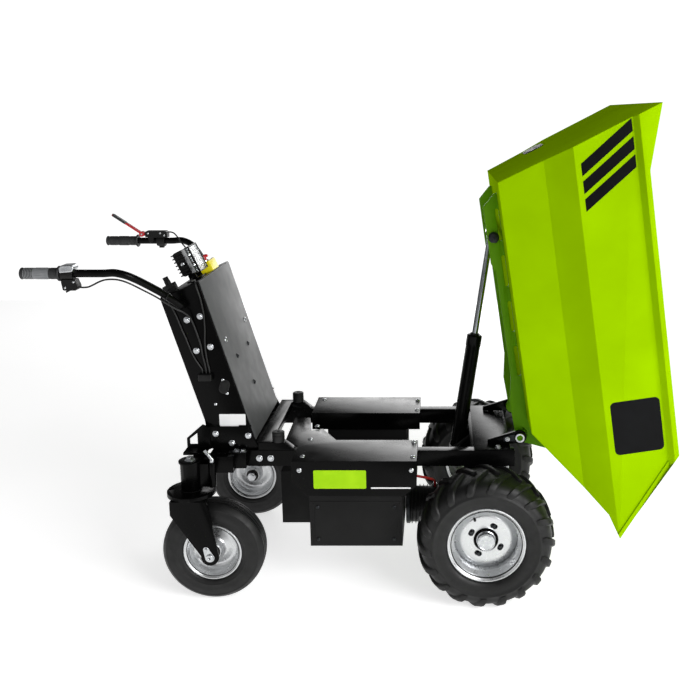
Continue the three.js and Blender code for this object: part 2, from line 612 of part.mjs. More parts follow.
// A closed sleeve over the end of the bar, with a collar at its open end.
function gripGeometry() {
  const bore = BAR_DIAMETER / 2 + SEAT;
  const outer = GRIP_DIAMETER / 2;
  const collar = GRIP_LENGTH - GRIP_ENDS;
  const profile = [
    [0, 0], [outer + 1, 0], [outer + 1, GRIP_ENDS], [outer, GRIP_ENDS + 1], [outer, collar - 1],
    [outer + COLLAR_LIFT, collar], [outer + COLLAR_LIFT, GRIP_LENGTH], [bore, GRIP_LENGTH],
    [bore, GRIP_ENDS + 0.5], [0, GRIP_ENDS + 0.5],
  ];
  const sleeve = new THREE.LatheGeometry(profile.map(([r, x]) => new THREE.Vector2(r, x)), 20);
  return sleeve.rotateZ(-Math.PI / 2);
}

function barClamp(x0, x1, y, z, radius) {
  return cut(rodX(radius, x0, x1, y, z, 24), rodX(BAR_DIAMETER / 2 + SEAT, x0 - 1, x1 + 1, y, z, 24));
}

function addThrottle(chassis) {
  const x = GRIP_REAR_X + THROTTLE_REACH;
  const body = barClamp(x, x + 35, -GRIP_Y, GRIP_Z, 23);
  const pod = box(x + 5, x + 47, -GRIP_Y - 15, -GRIP_Y + 15, GRIP_Z - 46, GRIP_Z - 15);
  const lever = box(x + 1, x + 40, -GRIP_Y - 9, -GRIP_Y + 9, GRIP_Z + 20, GRIP_Z + 27);
  add(chassis, 'throttle', join(body, pod, lever), plastic());
}

function addBrake(chassis) {
  const x = GRIP_REAR_X + BRAKE_REACH;
  const clamp = barClamp(x + 38, x + 66, GRIP_Y, GRIP_Z, 19);
  const body = box(x, x + BRAKE_LENGTH, GRIP_Y - 14, GRIP_Y + 14, GRIP_Z + 12.5, GRIP_Z + 35);
  add(chassis, 'brake_housing', join(clamp, body), plastic());
  const root = rodY(9, GRIP_Y - 12, GRIP_Y + 12, x - 13, GRIP_Z + 24, 16);
  const blade = box(-118, -4, -9, 9, -3, 3).rotateY(THREE.MathUtils.degToRad(34));
  blade.translate(x - 13, GRIP_Y, GRIP_Z + 24);
  const link = box(x - 12, x - SEAT, GRIP_Y - 8, GRIP_Y + 8, GRIP_Z + 18, GRIP_Z + 30);
  add(chassis, 'brake_lever', join(root, blade, link), safetyRed());
}

// ---- Cables ----
// A place beside the tower: behind its front face, out from its side, and up from the floor.
function besideTower(side, behind, out, z) {
  return [towerFrontX(z) - behind, side * (TOWER_WIDTH / 2 + out), z];
}

// A place in the grip's own frame: ahead of its closed end, out from the middle and up from the bar.
function besideBar(side, ahead, out, up) {
  return [GRIP_REAR_X + ahead, side * (GRIP_Y + out), GRIP_Z + up];
}

function cableEntry(side, behind, length, top) {
  const x = towerFrontX(top) - behind;
  const y = bothWays(side, TOWER_WIDTH / 2 + SEAT, TOWER_WIDTH / 2 + ENTRY_DEPTH);
  return box(x - length / 2, x + length / 2, ...y, top - ENTRY_HEIGHT, top);
}

// From the throttle along the underside of the bar, past its boss and down the tower.
function throttleRoute() {
  const underBar = [
    [160 + SEAT, 0, -39], [170, 0, -39.5], [184, 0, -38], [198, 0, -32], [214, 0, -24], [232, 0, -18],
    [256, -1, -17], [276, -3, -21], [296, -10, -31], [322, -35, -54], [348, -63, -79], [372, -88, -105],
    [392, -104, -124],
  ];
  const downTower = [
    [65, 21, 850], [58, 9, 832], [57, 4, 808], [57, 3.5, 778], [58, 3.5, 748], [63, 3.5, 718],
    [66, 3.5, 690], [69, 3.5, 672], [72, 3.5, ENTRY_TOP + SEAT],
  ];
  return [
    ...underBar.map((place) => besideBar(-1, ...place)),
    ...downTower.map((place) => besideTower(-1, ...place)),
  ];
}

// From the brake housing over the inside of the bar and down to the tower's left side.
function brakeRoute() {
  const pastBar = [
    [BRAKE_REACH + BRAKE_LENGTH + SEAT, 0, 30], [224, 0, 30], [236, -4, 26], [248, -12, 16], [258, -19, 5],
    [268, -24, -7], [282, -32, -21], [298, -42, -36], [316, -56, -55], [336, -74, -77],
  ];
  const downTower = [
    [117, 48, 886], [111, 33, 856], [108, 21, 826], [109, 11, 800], [110, 7, 780], [112, 7, 771], [115, 7, 762 + SEAT],
  ];
  return [
    ...pastBar.map((place) => besideBar(1, ...place)),
    ...downTower.map((place) => besideTower(1, ...place)),
  ];
}

// From the work light's foot across the tower's top, over its edge and down its right side.
function lightRoute() {
  const places = [
    [47, -108.7, 932.4], [46, -95, 931], [41, -77, 930], [35, -57, 931], [27, -37, 934], [18, -19, 938],
    [11, -5, 942], [7, 5, 938], [7, 10, 926], [7, 10, 912], [8, 8, 894], [11, 5, 872], [15, 3.5, 848],
    [22, 3.5, 820], [31, 3.5, 790], [40, 3.5, 765], [47, 3.5, 742], [53, 3.5, 715], [57, 3.5, 690],
    [59, 3.5, 672], [62, 3.5, ENTRY_TOP + SEAT],
  ];
  return places.map((place) => besideTower(-1, ...place));
}

// From the key switch over the tower's edge and down near the back of its right side.
function switchRoute() {
  const places = [
    [99.4, -16.7, 911.1], [99, -9, 911], [100, 0, 909.5], [102, 6.5, 903], [104, 9, 893], [104, 8, 880],
    [102, 5, 864], [100, 3.3, 845], [98, 3.3, 820], [97, 3.3, 795], [95, 3.3, 772], [94, 3.3, 750],
    [93, 3.3, 726], [89, 3.3, 703], [83, 3.3, 684], [80, 3.3, 672], [83, 3.3, ENTRY_TOP + SEAT],
  ];
  return places.map((place) => besideTower(-1, ...place));
}

// From the front of the battery case to the top of the motor.
function motorRoute() {
  const fromCase = [
    [SEAT, 0, 0], [8, 0, 0], [17, 0.5, -0.5], [27, 2, -2], [37, 4.5, -4.5], [47, 8.5, -8], [57, 14, -12.5],
    [66, 21, -17.5], [74, 29.5, -23],
  ];
  const toMotor = [
    [-17, -65.5, 57], [-11, -54, 50.5], [-6, -42, 43.5], [-2.5, -30, 36], [-0.5, -18, 27], [0, -8, 17.5],
    [0, -1.5, 8.5], [0, 0, SEAT],
  ];
  const motorTop = DRIVE_RADIUS + MOTOR_DIAMETER / 2;
  return [
    ...fromCase.map(([x, y, z]) => [CASE_FRONT - 3 + x, y - 200, RAIL_BOTTOM - 30 + z]),
    ...toMotor.map(([x, y, z]) => [CASE_FRONT + 95 + x, MOTOR_Y + y, motorTop + z]),
  ];
}

function addCables(chassis) {
  add(chassis, 'cable_entry_right', cableEntry(-1, 74, 40, ENTRY_TOP), plastic());
  add(chassis, 'cable_entry_left', cableEntry(1, 115, 20, 762), plastic());
  add(chassis, 'throttle_cable', tube(throttleRoute(), CABLE_RADIUS, 8, 12), cableBlack());
  add(chassis, 'brake_cable', tube(brakeRoute(), CABLE_RADIUS, 8, 12), cableBlack());
  add(chassis, 'light_cable', tube(lightRoute(), CABLE_RADIUS, 8, 8), cableBlack());
  add(chassis, 'switch_cable', tube(switchRoute(), SWITCH_CABLE_RADIUS, 8, 8), cableBlack());
  add(chassis, 'motor_cable', tube(motorRoute(), MOTOR_CABLE_RADIUS, 8, 12), cableRed());
}

// ---- Drive wheels ----
function driveTyre() {
  const half = DRIVE_TYRE_WIDTH / 2;
  const bead = DRIVE_RIM_SEAT / 2 + SEAT;
  const flange = DRIVE_RIM_FLANGE / 2 + SEAT;
  const beadHalf = DRIVE_RIM_WIDTH / 2 - 3 - SEAT;
  const top = DRIVE_RADIUS;
  const side = [
    [bead, beadHalf], [flange, beadHalf], [flange + 2, beadHalf + 4], [top - 68, half - 3], [top - 48, half],
    [top - 26, half - 2], [top - 10, half - 14], [top, half - 30],
  ];
  const mirrored = side.map(([r, y]) => [r, -y]).reverse();
  return ringY([...mirrored, ...side], WHEEL_SIDES);
}

// The disc is dished: flat round the hub and sloping back to the barrel.
function driveRim(side) {
  const half = DRIVE_RIM_WIDTH / 2;
  const seat = DRIVE_RIM_SEAT / 2;
  const flange = DRIVE_RIM_FLANGE / 2;
  const back = DISC_BACK;
  const disc = [
    [35, back], [60, back], [seat - 2, back - 12], [seat - 2, back - 6], [62, back + 6], [35, back + 6],
  ];
  const barrel = ringY([
    [seat - 4, -half + 1], [flange - 2, -half], [flange, -half + 2.7], [seat, -half + 3], [seat, half - 3],
    [flange, half - 2.7], [flange - 2, half], [seat - 4, half - 1],
  ], WHEEL_SIDES);
  return join(barrel, ringY(disc.map(([r, y]) => [r, side * y]), WHEEL_SIDES));
}

function driveHub(side) {
  const face = DISC_BACK - SEAT;
  const body = rodY(33, ...bothWays(side, -HUB_INNER, face - 1), 0, 0, 24);
  const flange = rodY(58, ...bothWays(side, face - PLATE, face), 0, 0, 28);
  const nose = rodY(HUB_CAP_DIAMETER / 2, ...bothWays(side, face - 1, face + 28), 0, 0, 24);
  return join(body, flange, nose);
}

function driveWheelGroup(machine, label, side) {
  const group = new THREE.Group();
  group.position.set(0, side * (DRIVE_TRACK / 2), DRIVE_RADIUS);
  machine.add(group);
  add(group, `drive_tyre_${label}`, driveTyre(), rubber());
  add(group, `drive_rim_${label}`, driveRim(side), silver());
  add(group, `drive_hub_${label}`, driveHub(side), frameBlack());
}

// ---- Casters ----
function casterTyre() {
  const half = CASTER_TYRE_WIDTH / 2;
  const bead = CASTER_RIM_SEAT / 2 + SEAT;
  const flange = CASTER_RIM_FLANGE / 2 + SEAT;
  const beadHalf = CASTER_RIM_WIDTH / 2 - 3 - SEAT;
  const top = CASTER_RADIUS;
  const side = [
    [bead, beadHalf], [flange, beadHalf], [flange + 2, beadHalf + 3], [top - 38, half - 1], [top - 24, half],
    [top - 10, half - 5], [top - 3, half - 14], [top, half - 26],
  ];
  const mirrored = side.map(([r, y]) => [r, -y]).reverse();
  return ringY([...mirrored, ...side], CASTER_SIDES);
}

function casterRim() {
  const half = CASTER_RIM_WIDTH / 2;
  const seat = CASTER_RIM_SEAT / 2;
  const flange = CASTER_RIM_FLANGE / 2;
  const barrel = ringY([
    [seat - 4, -half + 1], [flange - 2, -half], [flange, -half + 2.7], [seat, -half + 3], [seat, half - 3],
    [flange, half - 2.7], [flange - 2, half], [seat - 4, half - 1],
  ], CASTER_SIDES);
  const plate = ringY([[14, -4], [seat - 2, -4], [seat - 2, 2], [14, 2]], CASTER_SIDES);
  const hub = ringY([[10.5, -32], [24, -32], [24, 32], [10.5, 32]], 28);
  return join(barrel, plate, hub);
}

function casterFork(side) {
  const legInner = CASTER_LEG_Y - SWIVEL_Y;
  const axleZ = CASTER_RADIUS;
  const axleX = CASTER_OFFSET;
  const turntable = rodZ(TURNTABLE_DIAMETER / 2, FORK_TOP - 1, TURNTABLE_TOP, 0, 0, 40);
  const lockHole = rodZ(8, FORK_TOP - 20, TURNTABLE_TOP + 1, -60, 0, 16);
  const top = box(-47, 56, ...bothWays(side, -50, legInner + PLATE), FORK_TOP - PLATE, FORK_TOP);
  const foot = arc(axleX, axleZ, 26, 170, 370, 12);
  const legOutline = [[-47, FORK_TOP], [-47, FORK_TOP - 41], ...foot, [64, FORK_TOP - 17], [56, FORK_TOP]];
  const leg = slabY(legOutline, ...bothWays(side, legInner, legInner + PLATE));
  const axle = rodY(10, ...bothWays(side, -40, legInner + PLATE + 6), axleX, axleZ, 20);
  const nut = rodY(15, ...bothWays(side, -46, -34), axleX, axleZ, 6);
  return cut(join(turntable, top, leg, axle, nut), lockHole);
}

function casterGroup(machine, label, side) {
  const swivel = new THREE.Group();
  swivel.position.set(SWIVEL_X, side * SWIVEL_Y, 0);
  machine.add(swivel);
  add(swivel, `caster_fork_${label}`, casterFork(side), frameBlack());
  const wheel = new THREE.Group();
  wheel.position.set(CASTER_OFFSET, 0, CASTER_RADIUS);
  swivel.add(wheel);
  add(wheel, `caster_tyre_${label}`, casterTyre(), rubber());
  add(wheel, `caster_rim_${label}`, casterRim(), silver());
}

// ---- Tub, in its own frame: u forward along the floor, v up, w across ----
function tubSection(inset, top) {
  const floor = TUB_FLOOR_WIDTH / 2 - inset;
  const fold = TUB_FOLD_WIDTH / 2 - inset;
  const shoulder = TUB_SHOULDER_WIDTH / 2 - inset;
  const lip = shoulder + TUB_LIP_OVERHANG;
  const lipV = TUB_RIM_HEIGHT + TUB_LIP_HEIGHT / 2;
  const right = [[floor, inset], [fold, TUB_FOLD_HEIGHT], [shoulder, TUB_SHOULDER_HEIGHT]];
  const rim = [[shoulder, TUB_RIM_HEIGHT], [lip, lipV], [lip, top]];
  const half = [...right, ...rim];
  return [...half, ...half.map(([w, v]) => [-w, v]).reverse()];
}

function tubSideOutline() {
  const rimTop = TUB_RIM_HEIGHT + TUB_LIP_HEIGHT;
  const wedge = rimTop * BACK_SLOPE;
  return [
    [-TUB_FLOOR_LENGTH, 0], [0, 0], [SPOUT_KINK_AHEAD, SPOUT_KINK_HEIGHT], [SPOUT_AHEAD, SPOUT_HEIGHT],
    [RIM_FRONT_AHEAD, rimTop], [-TUB_FLOOR_LENGTH - wedge + 155, rimTop], [TUB_BACK_TOP_U, TUB_BACK_HEIGHT],
  ];
}

function tubCavityOutline() {
  const back = TUB_BACK_HEIGHT + 60;
  const along = SHEET / Math.cos(THREE.MathUtils.degToRad(TUB_BACK_LEAN));
  const slope = Math.atan2(SPOUT_KINK_HEIGHT, SPOUT_KINK_AHEAD);
  const tipSlope = (SPOUT_HEIGHT - SPOUT_KINK_HEIGHT) / (SPOUT_AHEAD - SPOUT_KINK_AHEAD);
  const frontFoot = SHEET / Math.tan(slope) - SHEET / Math.sin(slope);
  const kinkU = SPOUT_KINK_AHEAD - SHEET * Math.tan(slope / 2);
  const farU = SPOUT_AHEAD + 150;
  return [
    [-TUB_FLOOR_LENGTH + along - SHEET * BACK_SLOPE, SHEET],
    [frontFoot, SHEET],
    [kinkU, SPOUT_KINK_HEIGHT + SHEET],
    [farU, SPOUT_KINK_HEIGHT + SHEET + (farU - kinkU) * tipSlope],
    [farU, back],
    [-TUB_FLOOR_LENGTH + along - back * BACK_SLOPE, back],
  ];
}

function tubShell() {
  const far = 1200;
  const outerSection = slabX(tubSection(0, TUB_BACK_HEIGHT + 5), -far, far);
  const innerSection = slabX(tubSection(SHEET, TUB_BACK_HEIGHT + 90), -far, far);
  const outer = overlap(outerSection, slabY(tubSideOutline(), -500, 500));
  const cavity = overlap(innerSection, slabY(tubCavityOutline(), -500, 500));
  return cut(outer, cavity).translate(-PIVOT_AHEAD_OF_FLOOR, 0, PIVOT_BELOW_FLOOR);
}

// Underframe plate in the tub's frame, with the pivot lug and the stiffener under the front slope.
function underframeOutline() {
  const top = -SEAT;
  const slope = SPOUT_KINK_HEIGHT / SPOUT_KINK_AHEAD;
  const lug = arc(PIVOT_AHEAD_OF_FLOOR, -PIVOT_BELOW_FLOOR, 20, 215, 340, 10);
  const back = TUB_FLOOR_LENGTH;
  return [
    [-back + 40, top], [-back + 40, top - 8], [-back + 75, -45], [-back + 245, -45], [-back + 272, -33],
    [-142, -33], [-60, -47], ...lug, [112, 112 * slope - 16], [106, 106 * slope - 2], [SEAT, top],
  ];
}

function addUnderframe(tub, label, side) {
  const plateY = bothWays(side, UNDERFRAME_INNER_Y, UNDERFRAME_INNER_Y + PLATE);
  const plate = slabY(underframeOutline(), ...plateY);
  const boss = rodY(20, ...bothWays(side, UNDERFRAME_INNER_Y + PLATE - 1, BRACKET_INNER_Y - 0.7),
    PIVOT_AHEAD_OF_FLOOR, -PIVOT_BELOW_FLOOR);
  const pinY = bothWays(side, UNDERFRAME_INNER_Y, BRACKET_INNER_Y + BRACKET_THICKNESS + 6);
  const hingePin = rodY(PIN_DIAMETER / 2, ...pinY, PIVOT_AHEAD_OF_FLOOR, -PIVOT_BELOW_FLOOR, 20);
  const eyeGap = ROD_EYE_WIDTH / 2 + 1;
  const crossY = bothWays(side, eyeGap, UNDERFRAME_INNER_Y + 1);
  const crossPin = rodY(9, ...crossY, -ROD_PIN_BACK, -ROD_PIN_BELOW, 20);
  const spacerY = bothWays(side, eyeGap + 18, UNDERFRAME_INNER_Y + 1);
  const spacer = rodY(15, ...spacerY, -ROD_PIN_BACK, -ROD_PIN_BELOW, 20);
  const nut = rodY(13, ...bothWays(side, UNDERFRAME_INNER_Y + PLATE - 1, UNDERFRAME_INNER_Y + PLATE + 10),
    -ROD_PIN_BACK, -ROD_PIN_BELOW, 6);
  const whole = join(plate, boss, hingePin, crossPin, spacer, nut);
  whole.translate(-PIVOT_AHEAD_OF_FLOOR, 0, PIVOT_BELOW_FLOOR);
  add(tub, `underframe_${label}`, whole, lime());
}

function tubGroup(machine) {
  const tub = new THREE.Group();
  tub.position.set(PIVOT_X, 0, PIVOT_Z);
  tub.rotation.y = THREE.MathUtils.degToRad(TIP_ANGLE);
  machine.add(tub);
  add(tub, 'tub', tubShell(), lime());
  for (const [label, side] of SIDES) addUnderframe(tub, label, side);
}

// ---- Tipping cylinder ----
function rodPinPlace(tipDegrees) {
  const back = -ROD_PIN_BACK - PIVOT_AHEAD_OF_FLOOR;
  const up = PIVOT_BELOW_FLOOR - ROD_PIN_BELOW;
  const angle = THREE.MathUtils.degToRad(tipDegrees);
  const x = PIVOT_X + back * Math.cos(angle) + up * Math.sin(angle);
  const z = PIVOT_Z - back * Math.sin(angle) + up * Math.cos(angle);
  return new THREE.Vector2(x - CYLINDER_BASE_X, z - CYLINDER_BASE_Z);
}

function cylinderGroup(machine) {
  const reach = rodPinPlace(TIP_ANGLE);
  const cylinder = new THREE.Group();
  cylinder.position.set(CYLINDER_BASE_X, 0, CYLINDER_BASE_Z);
  cylinder.rotation.y = Math.atan2(reach.x, reach.y);
  machine.add(cylinder);
  const radius = BARREL_DIAMETER / 2;
  const boreBottom = BARREL_LENGTH - (reach.length() - rodPinPlace(0).length()) - ROD_BURIED - 8;
  const body = rodZ(radius, 0, BARREL_LENGTH, 0, 0, 28);
  const eye = rodY(radius, -radius, radius, 0, 0, 28);
  const bore = rodZ(ROD_DIAMETER / 2 + SEAT, boreBottom, BARREL_LENGTH + 1, 0, 0, 20);
  const pinHole = rodY(CYLINDER_PIN_DIAMETER / 2 + SEAT, -radius - 1, radius + 1, 0, 0, 24);
  add(cylinder, 'cylinder_barrel', cut(join(body, eye), bore, pinHole), frameBlack());
  const shaft = rodZ(ROD_DIAMETER / 2, BARREL_LENGTH - ROD_BURIED, reach.length() - 10, 0, 0, 20);
  const rodEye = rodY(ROD_EYE_DIAMETER / 2, -ROD_EYE_WIDTH / 2, ROD_EYE_WIDTH / 2, 0, reach.length(), 24);
  add(cylinder, 'cylinder_rod', join(shaft, rodEye), chrome());
}

// ---- The whole machine ----
function buildMachine() {
  const machine = new THREE.Group();
  addRails(machine);
  addRearBeam(machine);
  addCrossTube(machine);
  addFrontDeck(machine);
  addHingeBrackets(machine);
  addCylinderBracket(machine);
  addCovers(machine);
  addBatteryCase(machine);
  addDriveline(machine);
  addCasterHousings(machine);
  addTower(machine);
  addTowerBase(machine);
  addWorkLight(machine);
  addEmergencyStop(machine);
  addKeySwitch(machine);
  addHandlebars(machine);
  addThrottle(machine);
  addBrake(machine);
  addCables(machine);
  for (const [label, side] of SIDES) driveWheelGroup(machine, label, side);
  for (const [label, side] of SIDES) casterGroup(machine, label, side);
  tubGroup(machine);
  cylinderGroup(machine);
  machine.updateMatrixWorld(true);
  return machine;
}

// The origin is under the middle of the machine's box, on the floor.
function centred(machine) {
  const size = new THREE.Box3().setFromObject(machine, true);
  machine.position.x = -(size.min.x + size.max.x) / 2;
  machine.updateMatrixWorld(true);
  return machine;
}

export default centred(buildMachine());
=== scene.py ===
import json
import math

import bmesh
import bpy
from mathutils import Matrix, Vector


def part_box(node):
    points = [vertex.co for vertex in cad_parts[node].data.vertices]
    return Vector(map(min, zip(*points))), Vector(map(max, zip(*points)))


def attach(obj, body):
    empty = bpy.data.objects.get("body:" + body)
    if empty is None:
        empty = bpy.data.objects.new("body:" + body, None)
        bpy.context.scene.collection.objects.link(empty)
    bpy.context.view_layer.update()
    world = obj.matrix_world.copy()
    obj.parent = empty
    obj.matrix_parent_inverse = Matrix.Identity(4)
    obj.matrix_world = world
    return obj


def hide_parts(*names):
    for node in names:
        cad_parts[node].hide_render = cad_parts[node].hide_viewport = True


# A walk-behind electric site dumper with its tub tipped forward: the finished surfaces and small parts.
# Sizes are millimetres in the machine's own frame: X forward from the drive axle, Y to the left and Z up
# from the floor. A piece is made there, or in the frame of the part that it sits on, and is set in
# metres as it is finished.
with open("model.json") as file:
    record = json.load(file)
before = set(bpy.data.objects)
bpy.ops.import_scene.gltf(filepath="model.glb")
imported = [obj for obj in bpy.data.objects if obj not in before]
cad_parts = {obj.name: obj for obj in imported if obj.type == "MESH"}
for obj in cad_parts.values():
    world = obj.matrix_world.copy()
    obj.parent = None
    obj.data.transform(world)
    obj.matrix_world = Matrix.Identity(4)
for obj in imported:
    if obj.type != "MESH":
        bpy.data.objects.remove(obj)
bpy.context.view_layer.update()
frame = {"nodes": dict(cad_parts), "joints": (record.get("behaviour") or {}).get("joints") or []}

MM = 0.001
SIDES = (("left", 1), ("right", -1))
JOINTS = {joint["name"]: joint for joint in frame["joints"]}
IDENTITY = Matrix.Identity(4)


def middle(node):
    """The middle of a CAD node's box, in metres."""
    low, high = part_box(node)
    return (low + high) / 2


AXLE_X = middle("drive_rim_right").x
SCALE = Matrix.Scale(MM, 4)
MACHINE = Matrix.Translation((AXLE_X, 0, 0)) @ SCALE


def span(node):
    """A CAD node's lowest and highest corners in the machine's millimetres."""
    return [(corner - Vector((AXLE_X, 0, 0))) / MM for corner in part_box(node)]


def joint_place(name):
    """Where a joint's axis is, in the machine's millimetres."""
    return Vector(JOINTS[name]["pos_m"]) / MM - Vector((AXLE_X / MM, 0, 0))


# ---- Frames of the parts that are turned or that turn ----
TIP = math.radians(-JOINTS["tub_tip"]["range_deg"][0])
TUB_FLOOR_FROM_PIVOT = Vector((-46, 0, 32))
TUB = (
    Matrix.Translation(JOINTS["tub_tip"]["pos_m"])
    @ Matrix.Rotation(TIP, 4, "Y")
    @ SCALE
    @ Matrix.Translation(TUB_FLOOR_FROM_PIVOT)
)
SLIDE = JOINTS["rod_slide"]["axis"]
CYLINDER = (
    Matrix.Translation(JOINTS["cylinder_swing"]["pos_m"])
    @ Matrix.Rotation(math.atan2(SLIDE[0], SLIDE[2]), 4, "Y")
    @ SCALE
)


# ---- Nodes and trees ----
def linear(hex_colour):
    """An sRGB hex colour as a linear colour with full alpha."""
    digits = hex_colour.lstrip("#")
    shares = [int(digits[i : i + 2], 16) / 255 for i in (0, 2, 4)]
    bright = [s / 12.92 if s <= 0.04045 else ((s + 0.055) / 1.055) ** 2.4 for s in shares]
    return (*bright, 1.0)


def add_node(tree, kind, settings=None, links=None):
    """Adds a node. Settings are its properties and its sockets' own values; links feed its inputs."""
    node = tree.nodes.new(kind)
    for key, value in (settings or {}).items():
        if isinstance(key, int) or key in node.inputs:
            node.inputs[key].default_value = value
        else:
            setattr(node, key, value)
    for key, source in (links or {}).items():
        tree.links.new(source, node.inputs[key])
    return node


def start_material(name, colour, roughness, **values):
    """A material with one shader. Values are the shader's own settings by socket name."""
    material = bpy.data.materials.new(name)
    material.use_nodes = True
    material.diffuse_color = linear(colour)
    tree = material.node_tree
    tree.nodes.clear()
    settings = {"Base Color": linear(colour), "Roughness": roughness}
    settings.update({key.replace("_", " "): value for key, value in values.items()})
    shader = add_node(tree, "ShaderNodeBsdfPrincipled", settings)
    add_node(tree, "ShaderNodeOutputMaterial", {}, {"Surface": shader.outputs["BSDF"]})
    return material, tree, shader


def cloud(tree, size, detail=2.0, stretch=(1, 1, 1)):
    """A soft random pattern whose blobs are about size millimetres across, from 0 to 1."""
    place = add_node(tree, "ShaderNodeTexCoord")
    links = {"Vector": place.outputs["Object"]}
    stretched = add_node(tree, "ShaderNodeMapping", {"Scale": stretch}, links)
    settings = {"Scale": 1 / (size * MM), "Detail": detail}
    noise = add_node(tree, "ShaderNodeTexNoise", settings, {"Vector": stretched.outputs["Vector"]})
    return noise.outputs["Fac"]


def spread(tree, factor, low, high):
    """The factor's middle range, from 0.3 to 0.7, stretched to run from low to high."""
    settings = {"From Min": 0.3, "From Max": 0.7, "To Min": low, "To Max": high}
    return add_node(tree, "ShaderNodeMapRange", settings, {"Value": factor}).outputs["Result"]


def tint(tree, shader, factor, colours):
    """The shader's colour runs between two hex colours with the factor."""
    ramp = add_node(tree, "ShaderNodeValToRGB", {}, {"Fac": factor})
    ramp.color_ramp.elements[0].color = linear(colours[0])
    ramp.color_ramp.elements[1].color = linear(colours[1])
    tree.links.new(ramp.outputs["Color"], shader.inputs["Base Color"])


def relief(tree, shader, height, depth, strength=1.0):
    """A bump of depth millimetres on the shader."""
    settings = {"Distance": depth * MM, "Strength": strength}
    bump = add_node(tree, "ShaderNodeBump", settings, {"Height": height})
    tree.links.new(bump.outputs["Normal"], shader.inputs["Normal"])


# ---- Materials ----
def powder_coat(name, colours, roughness, peel=2.6, depth=0.05, **values):
    """Polyester powder coat, sprayed and stoved: an even gloss with a fine orange-peel ripple, a
    slightly thicker, deeper film in places, and a sheen that wanders a little."""
    material, tree, shader = start_material(name, colours[0], roughness, **values)
    tint(tree, shader, spread(tree, cloud(tree, 140), 0, 1), colours)
    gloss = spread(tree, cloud(tree, 45, 3), roughness - 0.05, roughness + 0.05)
    tree.links.new(gloss, shader.inputs["Roughness"])
    relief(tree, shader, cloud(tree, peel, 1), depth, 0.5)
    return material


def moulded_rubber(name, colours, roughness, grain=1.6, depth=0.25):
    """Vulcanised rubber straight from its mould: near black, a dull sheen with paler bloom where
    hands and dust have been, and a fine leathery grain."""
    material, tree, shader = start_material(name, colours[0], roughness, Specular_IOR_Level=0.4)
    tint(tree, shader, spread(tree, cloud(tree, 38, 5), 0, 1), colours)
    gloss = spread(tree, cloud(tree, 16, 3), roughness - 0.1, roughness + 0.12)
    tree.links.new(gloss, shader.inputs["Roughness"])
    relief(tree, shader, cloud(tree, grain, 4), depth, 0.6)
    return material


def moulded_plastic(name, colours, roughness, grain=0.9, depth=0.06, **values):
    """Injection-moulded plastic with a spark-eroded grain: an even colour and a fine, dry sparkle
    in its highlights. The grain is drawn about twice as coarse as the real one so that it shows."""
    material, tree, shader = start_material(name, colours[0], roughness, **values)
    tint(tree, shader, spread(tree, cloud(tree, 24, 3), 0, 1), colours)
    gloss = spread(tree, cloud(tree, 7, 4), roughness - 0.06, roughness + 0.06)
    tree.links.new(gloss, shader.inputs["Roughness"])
    relief(tree, shader, cloud(tree, grain, 2), depth, 0.5)
    return material


def plated_steel(name, colours, roughness, stretch=(1, 1, 1), streak=3.0, depth=0.02):
    """Plated or ground steel: a bright metal whose polish wanders in soft patches, with faint lines
    along the way it was drawn or ground."""
    material, tree, shader = start_material(name, colours[0], roughness, Metallic=1.0)
    tint(tree, shader, spread(tree, cloud(tree, 12, 4), 0, 1), colours)
    gloss = spread(tree, cloud(tree, 9, 3), roughness - 0.05, roughness + 0.08)
    tree.links.new(gloss, shader.inputs["Roughness"])
    relief(tree, shader, cloud(tree, streak, 3, stretch), depth, 0.5)
    return material


WAVE = 20  # the wave texture's own factor: bands s apart need a scale of tau / (20 s)
FLUTE = 6  # the lens's flutes, in millimetres


def turned_rings(tree, spacing):
    """Rings round a turned piece, from its own map, whose V is millimetres along its section."""
    place = add_node(tree, "ShaderNodeTexCoord")
    settings = {"wave_type": "BANDS", "bands_direction": "Y", "Scale": math.tau / (WAVE * spacing)}
    settings.update({"Distortion": 1.2, "Detail": 2.0})
    return add_node(tree, "ShaderNodeTexWave", settings, {"Vector": place.outputs["UV"]}).outputs["Fac"]


def rim_lacquer(name):
    """Silver wheel lacquer over pressed steel: fine metal flake under clear coat, with the faint
    rings that spinning leaves in the steel."""
    material, tree, shader = start_material(
        name, "#c4c6c8", 0.3, Metallic=0.9, Coat_Weight=0.35, Coat_Roughness=0.08
    )
    tint(tree, shader, spread(tree, cloud(tree, 1.2, 2), 0, 1), ("#c6c8ca", "#e2e3e4"))
    gloss = spread(tree, cloud(tree, 20, 4), 0.24, 0.38)
    tree.links.new(gloss, shader.inputs["Roughness"])
    relief(tree, shader, turned_rings(tree, 2.4), 0.03, 0.35)
    return material


def tyre_rubber(name, band):
    """Tyre rubber: a satin black side wall with faint mould rings, band millimetres apart, a dusty
    bloom, and a duller grain where the mould was blasted."""
    material, tree, shader = start_material(name, "#141516", 0.38, Specular_IOR_Level=0.4)
    tint(tree, shader, spread(tree, cloud(tree, 60, 6), 0, 1), ("#030303", "#0a0a0a"))
    gloss = spread(tree, cloud(tree, 26, 4), 0.4, 0.62)
    tree.links.new(gloss, shader.inputs["Roughness"])
    rings = turned_rings(tree, band)
    grain = cloud(tree, 2.2, 4)
    settings = {"operation": "MULTIPLY_ADD", 1: 0.35}
    both = add_node(tree, "ShaderNodeMath", settings, {0: rings, 2: grain})
    relief(tree, shader, both.outputs["Value"], 0.3, 0.5)
    return material


